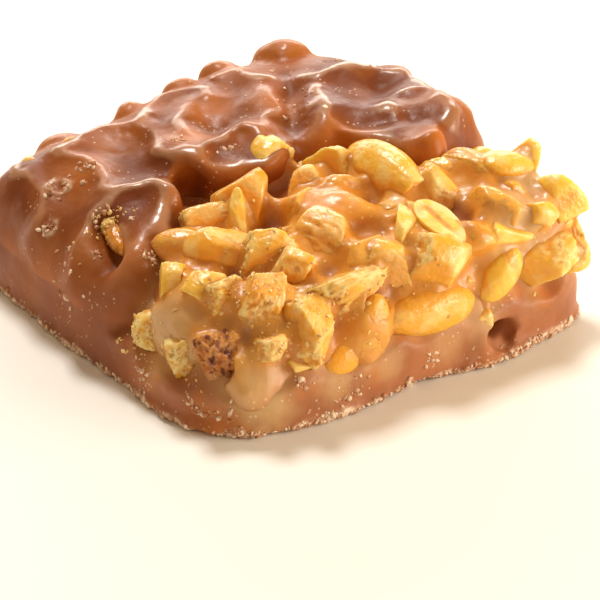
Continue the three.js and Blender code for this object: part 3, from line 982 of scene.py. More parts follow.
def coat_object(sizes, lumps):
    """The coat as it settles over hidden nuts, with a rounded front edge that runs out on the filling."""
    coat = core_form(sizes, sizes.coat_thickness / MM, COAT_BASE)
    top = sizes.plate_top / MM
    bm = bmesh.new()
    add_dome(bm, coat, subdivisions=7)
    spots = place_of(bm.verts)
    warp = np.column_stack([ripples(spots + shift, WARP) for shift in WARP_SHIFTS])
    push = ripples(spots, COAT_WAVES) - COAT_SETTLED
    for lump in lumps:
        far = np.linalg.norm(spots + LUMP_WARP * warp - lump.at, axis=1) / lump.width
        form = np.sqrt(np.maximum(1 - far**2, 0)) if lump.knob else fade(far, 1)
        push = np.maximum(push, lump.height * form + COAT_SHARE_LEFT * push)
    for half_width, height, path in CRESTS:
        far = along_path(spots + CREST_WARP * warp, path)
        push = np.maximum(push, height * np.exp(-far / half_width) + COAT_SHARE_LEFT * push)
    for half_width, depth, path in DENTS:
        push -= depth * fade(along_path(spots + DENT_WARP * warp, path), half_width)
    push *= ease(spots[:, 2], top, top + COAT_COMES_IN)
    lip = ease(spots[:, 0], *LIP_START) * ease(-spots[:, 0], -LIP_END[1], -LIP_END[0])
    run = EDGE_RUN + (LIP_RUN - EDGE_RUN) * lip
    behind = behind_edge(spots)
    share = np.clip(behind / run, 0, 1)
    round_edge = np.sqrt(1 - (1 - share) ** 2)
    drop = sizes.coat_thickness / MM + BED_DEPTH + EDGE_SINKS
    push = push * share - drop * (1 - round_edge)
    raised = ease(push + drop, LIP_LEAN_FROM * drop, drop)
    lean = LIP_REACH * lip * raised * np.exp(-np.maximum(behind, 0) / LIP_LEAN)
    put(bm.verts, spots + outward(spots, coat) * push[:, None] + lean[:, None] * LIP_AIM)
    obj = new_object(bm, "coat")
    fuse(obj, COAT_MELT, passes=3)
    return obj


def chocolate_relief(points, normals, coat):
    """Height of the chocolate's ripples, bubble rings and crumbled foot, and how crumbled each point is."""
    relief = sum(ripples(points, waves) for waves in FINE_WAVES)
    crumbled = np.zeros(len(points))
    for middle, radius, height in BUBBLE_RINGS:
        far = np.linalg.norm(points - onto_dome(middle, coat)[0], axis=1)
        near = far < radius * RING_FIELD
        wobbly = far[near] * (1 + ripples(points[near], RING_WOBBLE))
        rough = np.clip(RING_ROUGH_MEAN + ripples(points[near], RING_ROUGH), 0, RING_ROUGH_MOST)
        ring = fade(wobbly - radius, RING_WIDTH * radius) * rough
        relief[near] += height * (ring - RING_DENT * fade(wobbly, RING_DENT_WIDTH * radius))
        crumbled[near] = np.maximum(crumbled[near], np.clip(ring * RING_CRUMBLED, 0, 1))
    edge = FOOT_HEIGHT + ripples(points * FOOT_STRETCH, FOOT_CLUMPS)
    foot = ease(edge - points[:, 2], 0, FOOT_FADE) * ease(np.abs(normals[:, 2]), *FOOT_FACING)
    grit = np.zeros(len(points))
    low = foot > 0
    grit[low] = ripples(points[low], GRIT)
    relief += foot * (FOOT_OUT + GRIT_HEIGHT * grit)
    return relief, np.maximum(crumbled, foot * ease(grit, *GRIT_SPAN))


def thin_chocolate(points, normals, top, lumps, wall):
    """How thin the chocolate is at each point: over lumps, along the coat's front and on the front wall."""
    thin = np.zeros(len(points))
    for order, lump in enumerate(lumps):
        far = np.linalg.norm(points - lump.at, axis=1) / lump.width
        step = order * THIN_STRIDE % THIN_STEPS
        share = KNOB_THIN if lump.knob else LUMP_THIN + LUMP_THIN_MORE * step / (THIN_STEPS - 1)
        thin = np.maximum(thin, fade(far, THIN_REACH) * share)
    x = points[:, 0]
    front = ease(-normals[:, 1], *FRONT_FACING) * ease(FRONT_REACH - behind_edge(points), 0, FRONT_FADE)
    lip = ease(-x, -FRONT_END[1], -FRONT_END[0]) * ease(x, *FRONT_START)
    front *= np.maximum(lip, fade(x - LUMPED_EDGE, LUMPED_WIDTH))
    thin = np.maximum(thin, FRONT_THIN * front) * (points[:, 2] > top + THIN_RISE)
    return np.maximum(thin, WALL_THIN * wall * ease(ripples(points, WALL_THIN_PATCHES), *WALL_THIN_SPAN))


def shape_and_paint(mesh, sizes, lumps):
    """Gives the chocolate its fine forms, and paints what its finish needs."""
    points = mesh_points(mesh)
    normals = mesh_normals(mesh)
    height = points[:, 2]
    coat = core_form(sizes, sizes.coat_thickness / MM, COAT_BASE)
    top = sizes.plate_top / MM
    relief, crumbled = chocolate_relief(points, normals, coat)
    set_mesh_points(mesh, points + normals * relief[:, None])
    wall = ease(top + WALL_RISE - height, 0, WALL_FADE) * ease(-points[:, 1], *WALL_FRONT)
    thin = thin_chocolate(points, normals, top, lumps, wall)
    out = standing_out(mesh, CREST_PASSES)
    coated = height > top + COATED_RISE
    facing = ease(FLANK_FACING - normals[:, 2], 0, FLANK_FACING_FADE)
    flank = FLANK_PALER * ease(FLANK_TOP - height, 0, FLANK_FADE) * facing
    # Painted sheen along the crests and painted shade in the valleys, both from how far the surface stands
    # out
    paint(mesh, "crest", ease(out, *CREST_SPAN) * ease(height, *CREST_HEIGHTS) * (1 - thin))
    paint(mesh, "valley", ease(-out, *CREST_SPAN) * coated)
    paint(mesh, "thin", thin)
    # Painted light low on the front wall, where light falls, and paler steep low flanks
    paint(mesh, "paler_wall_and_flank", np.maximum(wall * (WALL_PALER + ripples(points, WALL_PALER_PATCHES)), flank))
    paint(mesh, "crumbled", crumbled)
    # Painted shade in the hollows below the coat's dome
    paint(mesh, "hollow", ease(dome_depth(points, coat), *HOLLOW_DEPTHS) * coated)


def build_chocolate(sizes, colours):
    lumps = coat_lumps(sizes)
    grain = sizes.coat_grain / MM
    chocolate = coat_object(sizes, lumps)
    merge(chocolate, plate_object(sizes))
    merge(chocolate, bank_object(sizes))
    fuse(chocolate, grain, passes=2)
    for middle, half_sizes in WALL_HOLES:
        cut_hollow(chocolate, middle, half_sizes)
    fuse(chocolate, grain, passes=4)
    shape_and_paint(chocolate.data, sizes, lumps)
    bm = bmesh.new()
    add_dome(bm, core_form(sizes, -BED_DEPTH - HOLLOW_DEEPER), subdivisions=5)
    cut(chocolate, new_object(bm, "hollow"), "DIFFERENCE")
    chocolate.name = "chocolate"
    finish_piece(chocolate, chocolate_finish(colours), "chocolate_shell")


# Filling

# Detail of the nuts that caramel is laid around, and of strewn nuts
NUT_DETAIL = 4
# Where caramel may run out on the chocolate: y in front of which, rise over the plate, share, fade with
# distance, wobble of its smears, and how soft they are against their radius
SMEAR_FRONT = -3
SMEAR_RISE = 8
SMEAR_SHARE = 0.75
SMEAR_FADE = 0.8
SMEAR_WOBBLE = Ripple(0.8, 2.2, 2)
SMEAR_SOFT = 0.8
# Waves of the caramel, and the height over its underside where they start
CARAMEL_WAVES = (Ripple(0.28, 2.6, 2), Ripple(0.04, 0.8))
CARAMEL_WAVES_RISE = 0.5
# Milky spots: wobble and fade. Caramel over a nut: fade and how much milky spots hide it. Depths in which
# painted shade between the nuts comes in, and fade of the caramel's meeting with the chocolate
MILKY_WOBBLE = Ripple(1, 2.0)
MILKY_FADE = 2.5
OVER_NUT_FADE = 0.5
OVER_NUT_HIDDEN = 0.8
SHADE_DEPTH_SPAN = (0.4, 2.0)
MEETING_FADE = 0.7
# Kind, piece and detail of the nuts that have a set place
NUT_PIECES = (("half", "peanut_halves", 6), ("chunk", "peanut_chunks", 5), ("bit", "peanut_bits", 4))
# Caramel film on a nut: waves, reach from the caramel, and more reach on a glazed nut
FILM_WAVES = Ripple(0.3, 1.8)
FILM_REACH = 0.36
FILM_GLAZE = 0.6


def surface_of(names):
    """Joined search tree over the named pieces, in millimetres."""
    bm = bmesh.new()
    for name in names:
        bm.from_mesh(bpy.data.objects[name].data)
    bmesh.ops.scale(bm, vec=(1 / MM, 1 / MM, 1 / MM), verts=bm.verts)
    tree = BVHTree.FromBMesh(bm)
    bm.free()
    return tree


def swell(mesh, amount):
    set_mesh_points(mesh, mesh_points(mesh) + mesh_normals(mesh) * amount)


def distances(points, tree):
    return np.array([tree.find_nearest(Vector(point))[3] for point in points])


def smear_chocolate(sizes, filling):
    """Paints where caramel runs out on the chocolate below the filling."""
    mesh = bpy.data.objects["chocolate"].data
    points = mesh_points(mesh) / MM
    near = (points[:, 1] < SMEAR_FRONT) & (points[:, 2] < sizes.plate_top / MM + SMEAR_RISE)
    smear = np.zeros(len(points))
    smear[near] = SMEAR_SHARE * np.exp(-distances(points[near], filling) / SMEAR_FADE)
    wobble = ripples(points, SMEAR_WOBBLE)
    for middle, radius, strength in SMEARS:
        far = np.linalg.norm(points - middle, axis=1) + wobble
        smear = np.maximum(smear, strength * ease(radius - far, 0, SMEAR_SOFT * radius))
    paint(mesh, "smear", smear)


def caramel_object(sizes, nuts):
    """Caramel in a bed and around every nut, with webs between nuts and dark hollows."""
    core = core_form(sizes)
    grain = sizes.caramel_grain / MM
    bm = bmesh.new()
    add_dome(bm, core_form(sizes, -BED_DEPTH, core.base), subdivisions=6)
    for order, nut in enumerate(nuts):
        sunk = nut._replace(out=nut.out - SUNK * (1 - nut.glaze))
        around = BARE_SIZE + GLAZE_SIZE * nut.glaze
        add_nut(bm, sunk, core, NUT_DETAIL, np.random.default_rng(SEED + order), around)
    for middle, radii in BULGES:
        matrix = Matrix.Translation(middle) @ Matrix.Diagonal((*radii, 1))
        bmesh.ops.create_icosphere(bm, subdivisions=4, radius=1, matrix=matrix)
    caramel = new_object(bm, "caramel")
    fuse(caramel, grain, passes=1)
    swell(caramel.data, WEB_REACH)
    fuse(caramel, grain, passes=1)
    swell(caramel.data, -WEB_REACH)
    fuse(caramel, grain, passes=3)
    for middle, radius in CAVES:
        cut_hollow(caramel, middle, radius)
    fuse(caramel, grain, passes=4)
    return caramel


def build_caramel(sizes, colours):
    core = core_form(sizes)
    nuts = filling_nuts(sizes)
    bm = bmesh.new()
    for order, nut in enumerate(nuts):
        add_nut(bm, nut, core, NUT_DETAIL, np.random.default_rng(SEED + order))
    bare_nuts = BVHTree.FromBMesh(bm)
    bm.free()
    caramel = caramel_object(sizes, nuts)
    mesh = caramel.data
    points = mesh_points(mesh)
    relief = sum(ripples(points, waves) for waves in CARAMEL_WAVES)
    relief *= points[:, 2] > core.base + CARAMEL_WAVES_RISE
    points += mesh_normals(mesh) * relief[:, None]
    set_mesh_points(mesh, points)
    milky = np.zeros(len(points))
    wobble = ripples(points, MILKY_WOBBLE)
    for middle, radius in MILKY_SPOTS:
        far = np.linalg.norm(points - middle, axis=1)
        milky = np.maximum(milky, ease(radius - far + wobble, 0, MILKY_FADE))
    over_nut = np.exp(-distances(points, bare_nuts) / OVER_NUT_FADE)
    paint(mesh, "over_nut", over_nut * (1 - OVER_NUT_HIDDEN * milky))
    # Painted shade deep between the nuts, kept off the milky spots
    paint(mesh, "deep", ease(dome_depth(points, core), *SHADE_DEPTH_SPAN) * (1 - milky))
    paint(mesh, "milky", milky)
    paint(mesh, "meeting", np.exp(-distances(points, surface_of(("chocolate",))) / MEETING_FADE))
    finish_piece(caramel, caramel_finish(colours), "peanut_caramel")
    smear_chocolate(sizes, surface_of(("caramel",)))


def build_nuts(sizes, colours):
    nuts = filling_nuts(sizes)
    core = core_form(sizes)
    finish = nut_finish(colours)
    skin = surface_of(("caramel",))
    for kind, name, detail in NUT_PIECES:
        bm = bmesh.new()
        layers = [bm.verts.layers.float.new(label) for label in ("broken", "tone", "film", "toast")]
        for order, nut in enumerate(nuts):
            if nut.kind != kind:
                continue
            rng = np.random.default_rng(SEED + order)
            landmark = order < len(LANDMARKS)
            made, broken = add_nut(bm, nut, core, detail if landmark else NUT_DETAIL, rng)
            # Tone differs at random, with painted shade making it darker towards the left end
            tone = np.clip(rng.uniform(0, 1) - LEFT_SHADE_LEAN * nut.at[0] / core.half_x, 0, 1)
            spots = place_of(made)
            clear = distances(spots, skin) + ripples(spots, FILM_WAVES)
            film = 1 - ease(clear, 0, FILM_REACH + FILM_GLAZE * nut.glaze)
            for vert, broken_share, film_share in zip(made, broken, film):
                for layer, value in zip(layers, (broken_share, tone, film_share, nut.toast)):
                    vert[layer] = value
        finish_piece(new_object(bm, name), finish, None)


# Crumbs

# How crumbs are dropped on a surface: how far outside they start, and their least size, how much more it
# may be and how seldom, against the usual size
Drop = namedtuple("Drop", "start least more seldom")
COAT_DROP = Drop(6, 0.35, 1.5, 3)
FILLING_DROP = Drop(12, 0.35, 1.1, 2)
# One crumb: how uneven it is, its least and largest sizes along its axes, and the turns it may have
CRUMB_UNEVEN = (0.5, 1.4)
CRUMB_LEAST = (0.7, 0.5, 0.3)
CRUMB_MOST = (1.5, 1.1, 0.8)
CRUMB_TURNS = (0, 6.28)
# Crumbs along the rim: size of their clumps and how far these thin out, height, its spread and how much more
# of it there is in a clump, start of a crumb against the outline, least height, and grades
CLUMP_SIZE = 3.2
CLUMP_LIMITS = (-0.7, 0.5)
RIM_HEIGHT = 0.25
RIM_SPREAD = 0.25
RIM_CLUMP_SPREAD = 0.6
RIM_START = 1.4
RIM_LEAST_HEIGHT = 0.15
RIM_GRADES = (0.5, 1.3)
RIM_LEAST = 0.7
RIM_MORE = 0.9
RIM_SELDOM = 3
# Nut crumbs lie left of x, in front of y and at a rise over the caramel's underside
NUT_CRUMB_FIELD = (4, -12, 1.5)
# Share above which a nut is too toasted for pale crumbs, and how far crumbs lie around a broken nut
TOASTED = 0.5
BREAK_SPREAD = 0.3


def add_crumb(heap, at, normal, size, rng):
    """One crumb: a small uneven block pressed into the surface. A mesh of its own keeps this quick."""
    bm = bmesh.new()
    layer = bm.verts.layers.float.new("tone")
    made = bmesh.ops.create_icosphere(bm, subdivisions=1, radius=1)["verts"]
    uneven = rng.uniform(*CRUMB_UNEVEN, (len(made), 1))
    shape = place_of(made) * uneven * rng.uniform(CRUMB_LEAST, CRUMB_MOST)
    turn = Vector((0, 0, 1)).rotation_difference(normal).to_matrix().to_4x4()
    spin = Matrix.Rotation(rng.uniform(*CRUMB_TURNS), 4, "Z")
    matrix = Matrix.Translation(at) @ turn @ spin
    put(made, [matrix @ Vector(point) for point in shape * size / 2])
    tone = rng.uniform(0, 1)
    for vert in made:
        vert[layer] = tone
    mesh = bpy.data.meshes.new("crumb")
    bm.to_mesh(mesh)
    bm.free()
    heap.from_mesh(mesh)
    bpy.data.meshes.remove(mesh)


def drop_crumb(heap, at, form, surface, drop, size, rng):
    """One crumb of a drawn size, dropped on a surface from outside."""
    out = Vector(outward(at, form)[0])
    hit, normal, _, _ = surface.ray_cast(Vector(at) + out * drop.start, -out)
    if hit is not None:
        grade = drop.least + drop.more * rng.uniform() ** drop.seldom
        add_crumb(heap, hit, normal, size * grade, rng)


def add_rim_crumb(heap, wall, size, rng):
    """One crumb at the plate's foot, unless it falls between the clumps."""
    angle = rng.uniform(0, 2 * math.pi)
    spot = plate_rim(np.array([angle]))[0]
    clump = noise.noise(Vector((spot[0], spot[1], 0)) / CLUMP_SIZE)
    if clump < rng.uniform(*CLUMP_LIMITS):
        return
    in_clump = max(clump, 0)
    height = RIM_HEIGHT + abs(rng.normal(0, RIM_SPREAD + RIM_CLUMP_SPREAD * in_clump))
    start = Vector((spot[0] * RIM_START, spot[1] * RIM_START, height))
    aim = Vector((-spot[0], -spot[1], 0)).normalized()
    hit, normal, _, _ = wall.ray_cast(start, aim)
    if hit is not None and hit.z > RIM_LEAST_HEIGHT:
        grade = rng.uniform(*RIM_GRADES) * (RIM_LEAST + RIM_MORE * rng.uniform() ** RIM_SELDOM)
        add_crumb(heap, hit, normal, size * (grade * (1 + in_clump)), rng)


def chocolate_crumbs(sizes, rng):
    """Crumbs along the plate's foot and on spots of the coat, kept above the floor."""
    size = sizes.crumb / MM
    wall = surface_of(("chocolate",))
    coat = core_form(sizes, sizes.coat_thickness / MM, COAT_BASE)
    heap = bmesh.new()
    for _ in range(sizes.rim_crumbs):
        add_rim_crumb(heap, wall, size, rng)
    for middle, extent, count in CRUMB_SPOTS:
        for _ in range(count):
            at = onto_dome(np.array(middle) + rng.normal(0, extent / 2, 3), coat)[0]
            drop_crumb(heap, at, coat, wall, COAT_DROP, size, rng)
    for vert in heap.verts:
        vert.co.z = max(vert.co.z, 0)
    return new_object(heap, "chocolate_crumbs")


def nut_crumbs(sizes, rng):
    """Crumbs over the front of the filling and around its roughest nuts."""
    core = core_form(sizes)
    filling = surface_of(("caramel", "peanut_halves", "peanut_chunks", "peanut_bits", "chocolate"))
    draws = Draws(SEED)
    spots = [onto_dome(dome_spot(draws, core), core)[0] for _ in range(sizes.nut_crumbs)]
    right, back, rise = NUT_CRUMB_FIELD
    spots = [at for at in spots if at[0] < right and at[1] < back and at[2] > core.base + rise]
    for nut in LANDMARKS:
        if nut.rough > CRUMBLY and nut.toast < TOASTED:
            near = np.array(nut.at) + rng.normal(0, BREAK_SPREAD * nut.length, (sizes.break_crumbs, 3))
            spots.extend(onto_dome(near, core))
    heap = bmesh.new()
    for at in spots:
        drop_crumb(heap, at, core, filling, FILLING_DROP, sizes.crumb / MM, rng)
    return new_object(heap, "nut_crumbs")


def build_crumbs(sizes, colours):
    rng = np.random.default_rng(SEED)
    finish = crumb_finish("chocolate_crumb", colours.crumbled, colours.chocolate_bloom)
    finish_piece(chocolate_crumbs(sizes, rng), finish, None)
    finish = crumb_finish("nut_crumb", colours.nut_broken, colours.caramel)
    finish_piece(nut_crumbs(sizes, rng), finish, None)


# Finishes

# Settings of the shared masks before a finish gives its own, and where flecks lie
PATCH_SETTINGS = (("Scale", 200.0), ("Detail", 3.0), ("Low", 0.4), ("High", 0.6))
FLECK_SETTINGS = (("Scale", 900.0), ("Size", 0.2), ("Amount", 0.5))
FLECK_PLACES = 260.0
FLECK_DETAIL = 2.0
# Share of a nut's own colour in the caramel film on it
FILM_SHARE = 0.55


def set_inputs(tree, node, inputs):
    """Sets a node's inputs, or links those that are given a socket."""
    for name, value in inputs.items():
        if isinstance(value, bpy.types.NodeSocket):
            tree.links.new(value, node.inputs[name])
        else:
            node.inputs[name].default_value = value


def add_node(tree, kind, inputs=None, **settings):
    """Adds a node, sets it up, and sets or links its inputs."""
    node = tree.nodes.new(kind)
    for name, value in settings.items():
        setattr(node, name, value)
    set_inputs(tree, node, inputs or {})
    return node


def blend(tree, factor, first, second):
    """A colour between two others."""
    return add_node(tree, "ShaderNodeMix", {0: factor, 6: first, 7: second}, data_type="RGBA").outputs[2]


def spread(tree, value, low, high, to_low=0.0, to_high=1.0):
    """A value carried from one range to another."""
    node = add_node(tree, "ShaderNodeMapRange", {
        "Value": value, "From Min": low, "From Max": high, "To Min": to_low, "To Max": to_high,
    }, interpolation_type="SMOOTHSTEP")
    return node.outputs["Result"]


def product(tree, first, second):
    return add_node(tree, "ShaderNodeMath", {0: first, 1: second}, operation="MULTIPLY").outputs[0]


def painted(tree, name):
    return add_node(tree, "ShaderNodeAttribute", attribute_name=name).outputs["Fac"]


def layered(tree, colour, layers):
    """A colour with others laid over it, each by a share of a mask, given or named if it is painted."""
    for mask, share, over in layers:
        if isinstance(mask, str):
            mask = painted(tree, mask)
        if share < 1:
            mask = product(tree, mask, share)
        colour = blend(tree, mask, colour, over)
    return colour


def shared_mask(name, settings, draw):
    """A shader group that puts out one mask, drawn the first time it is asked for."""
    if name in bpy.data.node_groups:
        return bpy.data.node_groups[name]
    group = bpy.data.node_groups.new(name, "ShaderNodeTree")
    for label, value in settings:
        socket = group.interface.new_socket(label, in_out="INPUT", socket_type="NodeSocketFloat")
        socket.default_value = value
    group.interface.new_socket("Mask", in_out="OUTPUT", socket_type="NodeSocketFloat")
    source = group.nodes.new("NodeGroupInput")
    result = group.nodes.new("NodeGroupOutput")
    place = group.nodes.new("ShaderNodeTexCoord")
    mask = draw(group, source.outputs, place.outputs["Object"])
    group.links.new(mask, result.inputs["Mask"])
    return group


def draw_patches(group, source, place):
    """Soft cloudy spots."""
    cloud = add_node(group, "ShaderNodeTexNoise", {
        "Vector": place, "Scale": source["Scale"], "Detail": source["Detail"],
    })
    return spread(group, cloud.outputs["Fac"], source["Low"], source["High"])


def draw_flecks(group, source, place):
    """Small uneven dots, more in some places than in others."""
    cells = add_node(group, "ShaderNodeTexVoronoi", {
        "Vector": place, "Scale": source["Scale"], "Randomness": 1.0,
    })
    cloud = add_node(group, "ShaderNodeTexNoise", {
        "Vector": place, "Scale": FLECK_PLACES, "Detail": FLECK_DETAIL,
    })
    dots, some = [
        add_node(group, "ShaderNodeMath", {0: source[limit], 1: value}, operation="GREATER_THAN").outputs[0]
        for limit, value in (("Size", cells.outputs["Distance"]), ("Amount", cloud.outputs["Fac"]))
    ]
    return product(group, dots, some)


def patches(tree, scale, detail, low, high):
    group = shared_mask("Soft patches", PATCH_SETTINGS, draw_patches)
    inputs = {"Scale": scale, "Detail": detail, "Low": low, "High": high}
    return add_node(tree, "ShaderNodeGroup", inputs, node_tree=group).outputs["Mask"]


def flecks(tree, scale, size, amount):
    group = shared_mask("Flecks", FLECK_SETTINGS, draw_flecks)
    inputs = {"Scale": scale, "Size": size, "Amount": amount}
    return add_node(tree, "ShaderNodeGroup", inputs, node_tree=group).outputs["Mask"]


def new_finish(name):
    """A new material and its main shader."""
    material = bpy.data.materials.new(name)
    material.use_nodes = True
    return material, material.node_tree.nodes["Principled BSDF"]


def raised(tree, height, strength, distance):
    """A normal that follows a mask as fine relief."""
    inputs = {"Height": height, "Strength": strength, "Distance": distance}
    return add_node(tree, "ShaderNodeBump", inputs).outputs["Normal"]


def chocolate_finish(colours):
    material, shader = new_finish("satin_chocolate")
    tree = material.node_tree
    thick = blend(tree, patches(tree, 75, 3, 0.38, 0.66), colours.chocolate_deep, colours.chocolate)
    set_inputs(tree, shader, {
        "Base Color": layered(tree, thick, (
            (patches(tree, 120, 4, 0.5, 0.72), 0.45, colours.chocolate_bloom),
            # Painted shade in the hollows and valleys, painted sheen on the crests, painted light low on the
            # front wall and paler steep low flanks
            ("hollow", 0.6, colours.chocolate_deep),
            ("valley", 0.7, colours.chocolate_deep),
            ("crest", 0.48, colours.chocolate_sheen),
            ("paler_wall_and_flank", 0.8, colours.chocolate_wall),
            ("thin", 0.75, colours.chocolate_thin),
            ("smear", 1, colours.caramel_milky),
            (flecks(tree, 1500, 0.22, 0.42), 0.35, colours.crumbled),
            ("crumbled", 1, colours.crumbled),
        )),
        "Roughness": spread(tree, patches(tree, 220, 4, 0.3, 0.7), 0, 1, 0.34, 0.52),
        "Specular IOR Level": 0.2,
        "Coat Weight": product(tree, painted(tree, "crest"), 0.7),
        "Coat Roughness": 0.2,
        "Normal": raised(tree, patches(tree, 900, 4, 0.2, 0.8), 0.12, 0.0004),
        "Subsurface Weight": 0.12,
        "Subsurface Radius": (1.0, 0.7, 0.5),
        "Subsurface Scale": 0.0015,
    })
    return material


def caramel_finish(colours):
    material, shader = new_finish("soft_caramel")
    tree = material.node_tree
    clear = blend(tree, patches(tree, 160, 3, 0.38, 0.64), colours.caramel_deep, colours.caramel)
    set_inputs(tree, shader, {
        "Base Color": layered(tree, clear, (
            ("milky", 0.8, colours.caramel_milky),
            ("over_nut", 0.6, colours.nut_deep),
            # Painted shade deep between the nuts
            ("deep", 0.85, colours.caramel_shade),
            ("meeting", 0.6, colours.chocolate_wall),
            (flecks(tree, 1300, 0.2, 0.44), 0.5, colours.nut_broken),
        )),
        "Roughness": spread(tree, patches(tree, 300, 4, 0.3, 0.7), 0, 1, 0.30, 0.46),
        "Coat Weight": 0.12,
        "Coat Roughness": 0.12,
        "Normal": raised(tree, patches(tree, 700, 4, 0.2, 0.8), 0.15, 0.0004),
        "Subsurface Weight": 0.4,
        "Subsurface Radius": (1.0, 0.8, 0.5),
        "Subsurface Scale": 0.002,
    })
    return material


def nut_finish(colours):
    material, shader = new_finish("roasted_peanut")
    tree = material.node_tree
    # Tone carries painted shade, darker towards the left end
    whole = blend(tree, painted(tree, "tone"), colours.nut, colours.nut_deep)
    pale = product(tree, painted(tree, "broken"), patches(tree, 650, 5, 0.4, 0.58))
    pits = product(tree, painted(tree, "broken"), patches(tree, 800, 5, 0.54, 0.68))
    burnt = product(tree, painted(tree, "toast"), patches(tree, 700, 5, 0.46, 0.58))
    filmed = [
        film + FILM_SHARE * (nut - film) for film, nut in zip(colours.caramel, colours.nut_deep)
    ]
    set_inputs(tree, shader, {
        "Base Color": layered(tree, whole, (
            (patches(tree, 420, 3, 0.45, 0.65), 0.5, colours.nut_broken),
            (pale, 1, colours.nut_broken),
            (patches(tree, 330, 5, 0.62, 0.76), 0.4, colours.nut_toasted),
            (pits, 0.6, colours.caramel_deep),
            ("toast", 0.8, colours.nut_toasted),
            (burnt, 1, colours.chocolate_deep),
            ("film", 0.8, filmed),
        )),
        "Roughness": spread(tree, painted(tree, "broken"), 0, 1, 0.24, 0.5),
        "Coat Weight": product(tree, painted(tree, "film"), 0.25),
        "Coat Roughness": 0.12,
        "Normal": raised(tree, patches(tree, 1400, 4, 0.2, 0.8), 0.25, 0.0003),
        "Subsurface Weight": 0.45,
        "Subsurface Radius": (1.0, 0.95, 0.8),
        "Subsurface Scale": 0.0014,
    })
    return material


def crumb_finish(name, light, dark):
    material, shader = new_finish(name)
    tree = material.node_tree
    colour = blend(tree, painted(tree, "tone"), light, dark)
    set_inputs(tree, shader, {"Base Color": colour, "Roughness": 0.45})
    return material


# Stage

CAMERA_TURN = -36.0
CAMERA_RISE = 29.0
CAMERA_FAR = 0.33
CAMERA_AIM = (0.0012, -0.003, 0.0)
CAMERA_LENS = 174.24
CAMERA_SENSOR = 36.0
CAMERA_NEAR = 0.01
FLOOR_HALF = 3
FLOOR_SHADE = 0.97
# Name, place, width, height, power and warmth of each soft light
LIGHTS = (
    ("key", (0.10, 0.27, 0.56), 0.14, 0.14, 2.9, (1.0, 0.97, 0.92)),
    ("fill", (0.46, -0.46, 0.18), 0.50, 0.30, 4.0, (1.0, 0.90, 0.75)),
    ("back", (0.34, 0.52, 0.18), 0.60, 0.20, 2.2, (1.0, 0.93, 0.86)),
)
WORLD_LIGHT = (1.0, 0.76, 0.50, 1.0)
WORLD_STRENGTH = 0.41


def build_stage(colours):
    scene = bpy.context.scene
    turn = math.radians(CAMERA_TURN)
    rise = math.radians(CAMERA_RISE)
    back = Vector((math.sin(turn) * math.cos(rise), -math.cos(turn) * math.cos(rise), math.sin(rise)))
    camera = bpy.data.cameras.new("camera")
    camera.lens = CAMERA_LENS
    camera.sensor_width = CAMERA_SENSOR
    camera.clip_start = CAMERA_NEAR
    holder = bpy.data.objects.new("camera", camera)
    holder.location = Vector(CAMERA_AIM) + back * CAMERA_FAR
    holder.rotation_euler = back.to_track_quat("Z", "Y").to_euler()
    scene.collection.objects.link(holder)
    scene.camera = holder
    for name, place, width, height, power, warmth in LIGHTS:
        light = bpy.data.lights.new(name, "AREA")
        light.shape = "RECTANGLE"
        light.size = width
        light.size_y = height
        light.energy = power
        light.color = warmth
        lamp = bpy.data.objects.new(name, light)
        lamp.location = place
        lamp.rotation_euler = Vector(place).to_track_quat("Z", "Y").to_euler()
        scene.collection.objects.link(lamp)
    world = bpy.data.worlds.new("studio")
    world.use_nodes = True
    sky = world.node_tree.nodes["Background"]
    sky.inputs["Color"].default_value = WORLD_LIGHT
    sky.inputs["Strength"].default_value = WORLD_STRENGTH
    scene.world = world
    scene.view_settings.view_transform = "Standard"
    bm = bmesh.new()
    bmesh.ops.create_grid(bm, x_segments=1, y_segments=1, size=FLOOR_HALF)
    floor = new_object(bm, "floor")
    material, shader = new_finish("pale_floor")
    tree = material.node_tree
    shade = tuple(FLOOR_SHADE * part for part in colours.floor[:3]) + (1.0,)
    set_inputs(tree, shader, {
        "Base Color": blend(tree, patches(tree, 4, 2, 0.3, 0.7), colours.floor, shade), "Roughness": 0.6,
    })
    floor.data.materials.append(material)


# Add-on

class CLUSTER_OT_chocolate(bpy.types.Operator):
    """Builds the plate and the coat as one piece of milk chocolate"""
    bl_idname = "cluster.chocolate"
    bl_label = "Chocolate plate and coat"

    def execute(self, context):
        build_chocolate(context.scene.cluster_sizes, context.scene.cluster_colours)
        return {"FINISHED"}


class CLUSTER_OT_caramel(bpy.types.Operator):
    """Builds the caramel that holds the nuts"""
    bl_idname = "cluster.caramel"
    bl_label = "Caramel"

    def execute(self, context):
        build_caramel(context.scene.cluster_sizes, context.scene.cluster_colours)
        return {"FINISHED"}


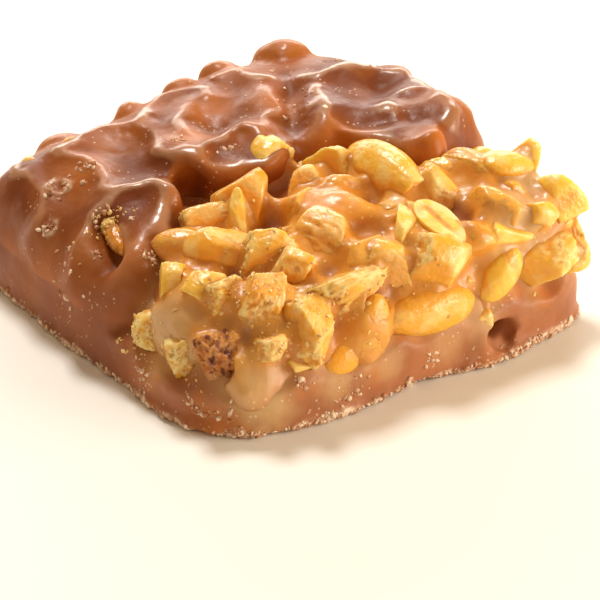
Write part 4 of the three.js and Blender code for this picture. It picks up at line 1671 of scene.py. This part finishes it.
class CLUSTER_OT_nuts(bpy.types.Operator):
    """Builds the half nuts, the chunks and the bits"""
    bl_idname = "cluster.nuts"
    bl_label = "Peanuts"

    def execute(self, context):
        build_nuts(context.scene.cluster_sizes, context.scene.cluster_colours)
        return {"FINISHED"}


class CLUSTER_OT_crumbs(bpy.types.Operator):
    """Strews crumbs along the plate's foot and over the filling"""
    bl_idname = "cluster.crumbs"
    bl_label = "Crumbs"

    def execute(self, context):
        build_crumbs(context.scene.cluster_sizes, context.scene.cluster_colours)
        return {"FINISHED"}


class CLUSTER_OT_stage(bpy.types.Operator):
    """Sets up the floor, the lights and the camera"""
    bl_idname = "cluster.stage"
    bl_label = "Stage"

    def execute(self, context):
        build_stage(context.scene.cluster_colours)
        return {"FINISHED"}


OPERATORS = (
    CLUSTER_OT_chocolate, CLUSTER_OT_caramel, CLUSTER_OT_nuts, CLUSTER_OT_crumbs, CLUSTER_OT_stage,
)


class CLUSTER_PT_panel(bpy.types.Panel):
    """Lists the cluster's pieces, sizes and colours"""
    bl_idname = "CLUSTER_PT_panel"
    bl_label = "Chocolate peanut cluster"
    bl_space_type = "VIEW_3D"
    bl_region_type = "UI"
    bl_category = "Cluster"

    def draw(self, context):
        for operator in OPERATORS:
            self.layout.operator(operator.bl_idname)
        for group in (context.scene.cluster_sizes, context.scene.cluster_colours):
            box = self.layout.box()
            for name in group.__annotations__:
                box.prop(group, name)


CLASSES = (ClusterSizes, ClusterColours) + OPERATORS + (CLUSTER_PT_panel,)


def register():
    for one in CLASSES:
        bpy.utils.register_class(one)
    bpy.types.Scene.cluster_sizes = PointerProperty(type=ClusterSizes)
    bpy.types.Scene.cluster_colours = PointerProperty(type=ClusterColours)


def unregister():
    del bpy.types.Scene.cluster_colours
    del bpy.types.Scene.cluster_sizes
    for one in reversed(CLASSES):
        bpy.utils.unregister_class(one)


def main():
    register()
    bpy.ops.cluster.chocolate()
    bpy.ops.cluster.caramel()
    bpy.ops.cluster.nuts()
    bpy.ops.cluster.crumbs()
    bpy.ops.cluster.stage()


if __name__ == "__main__":
    main()
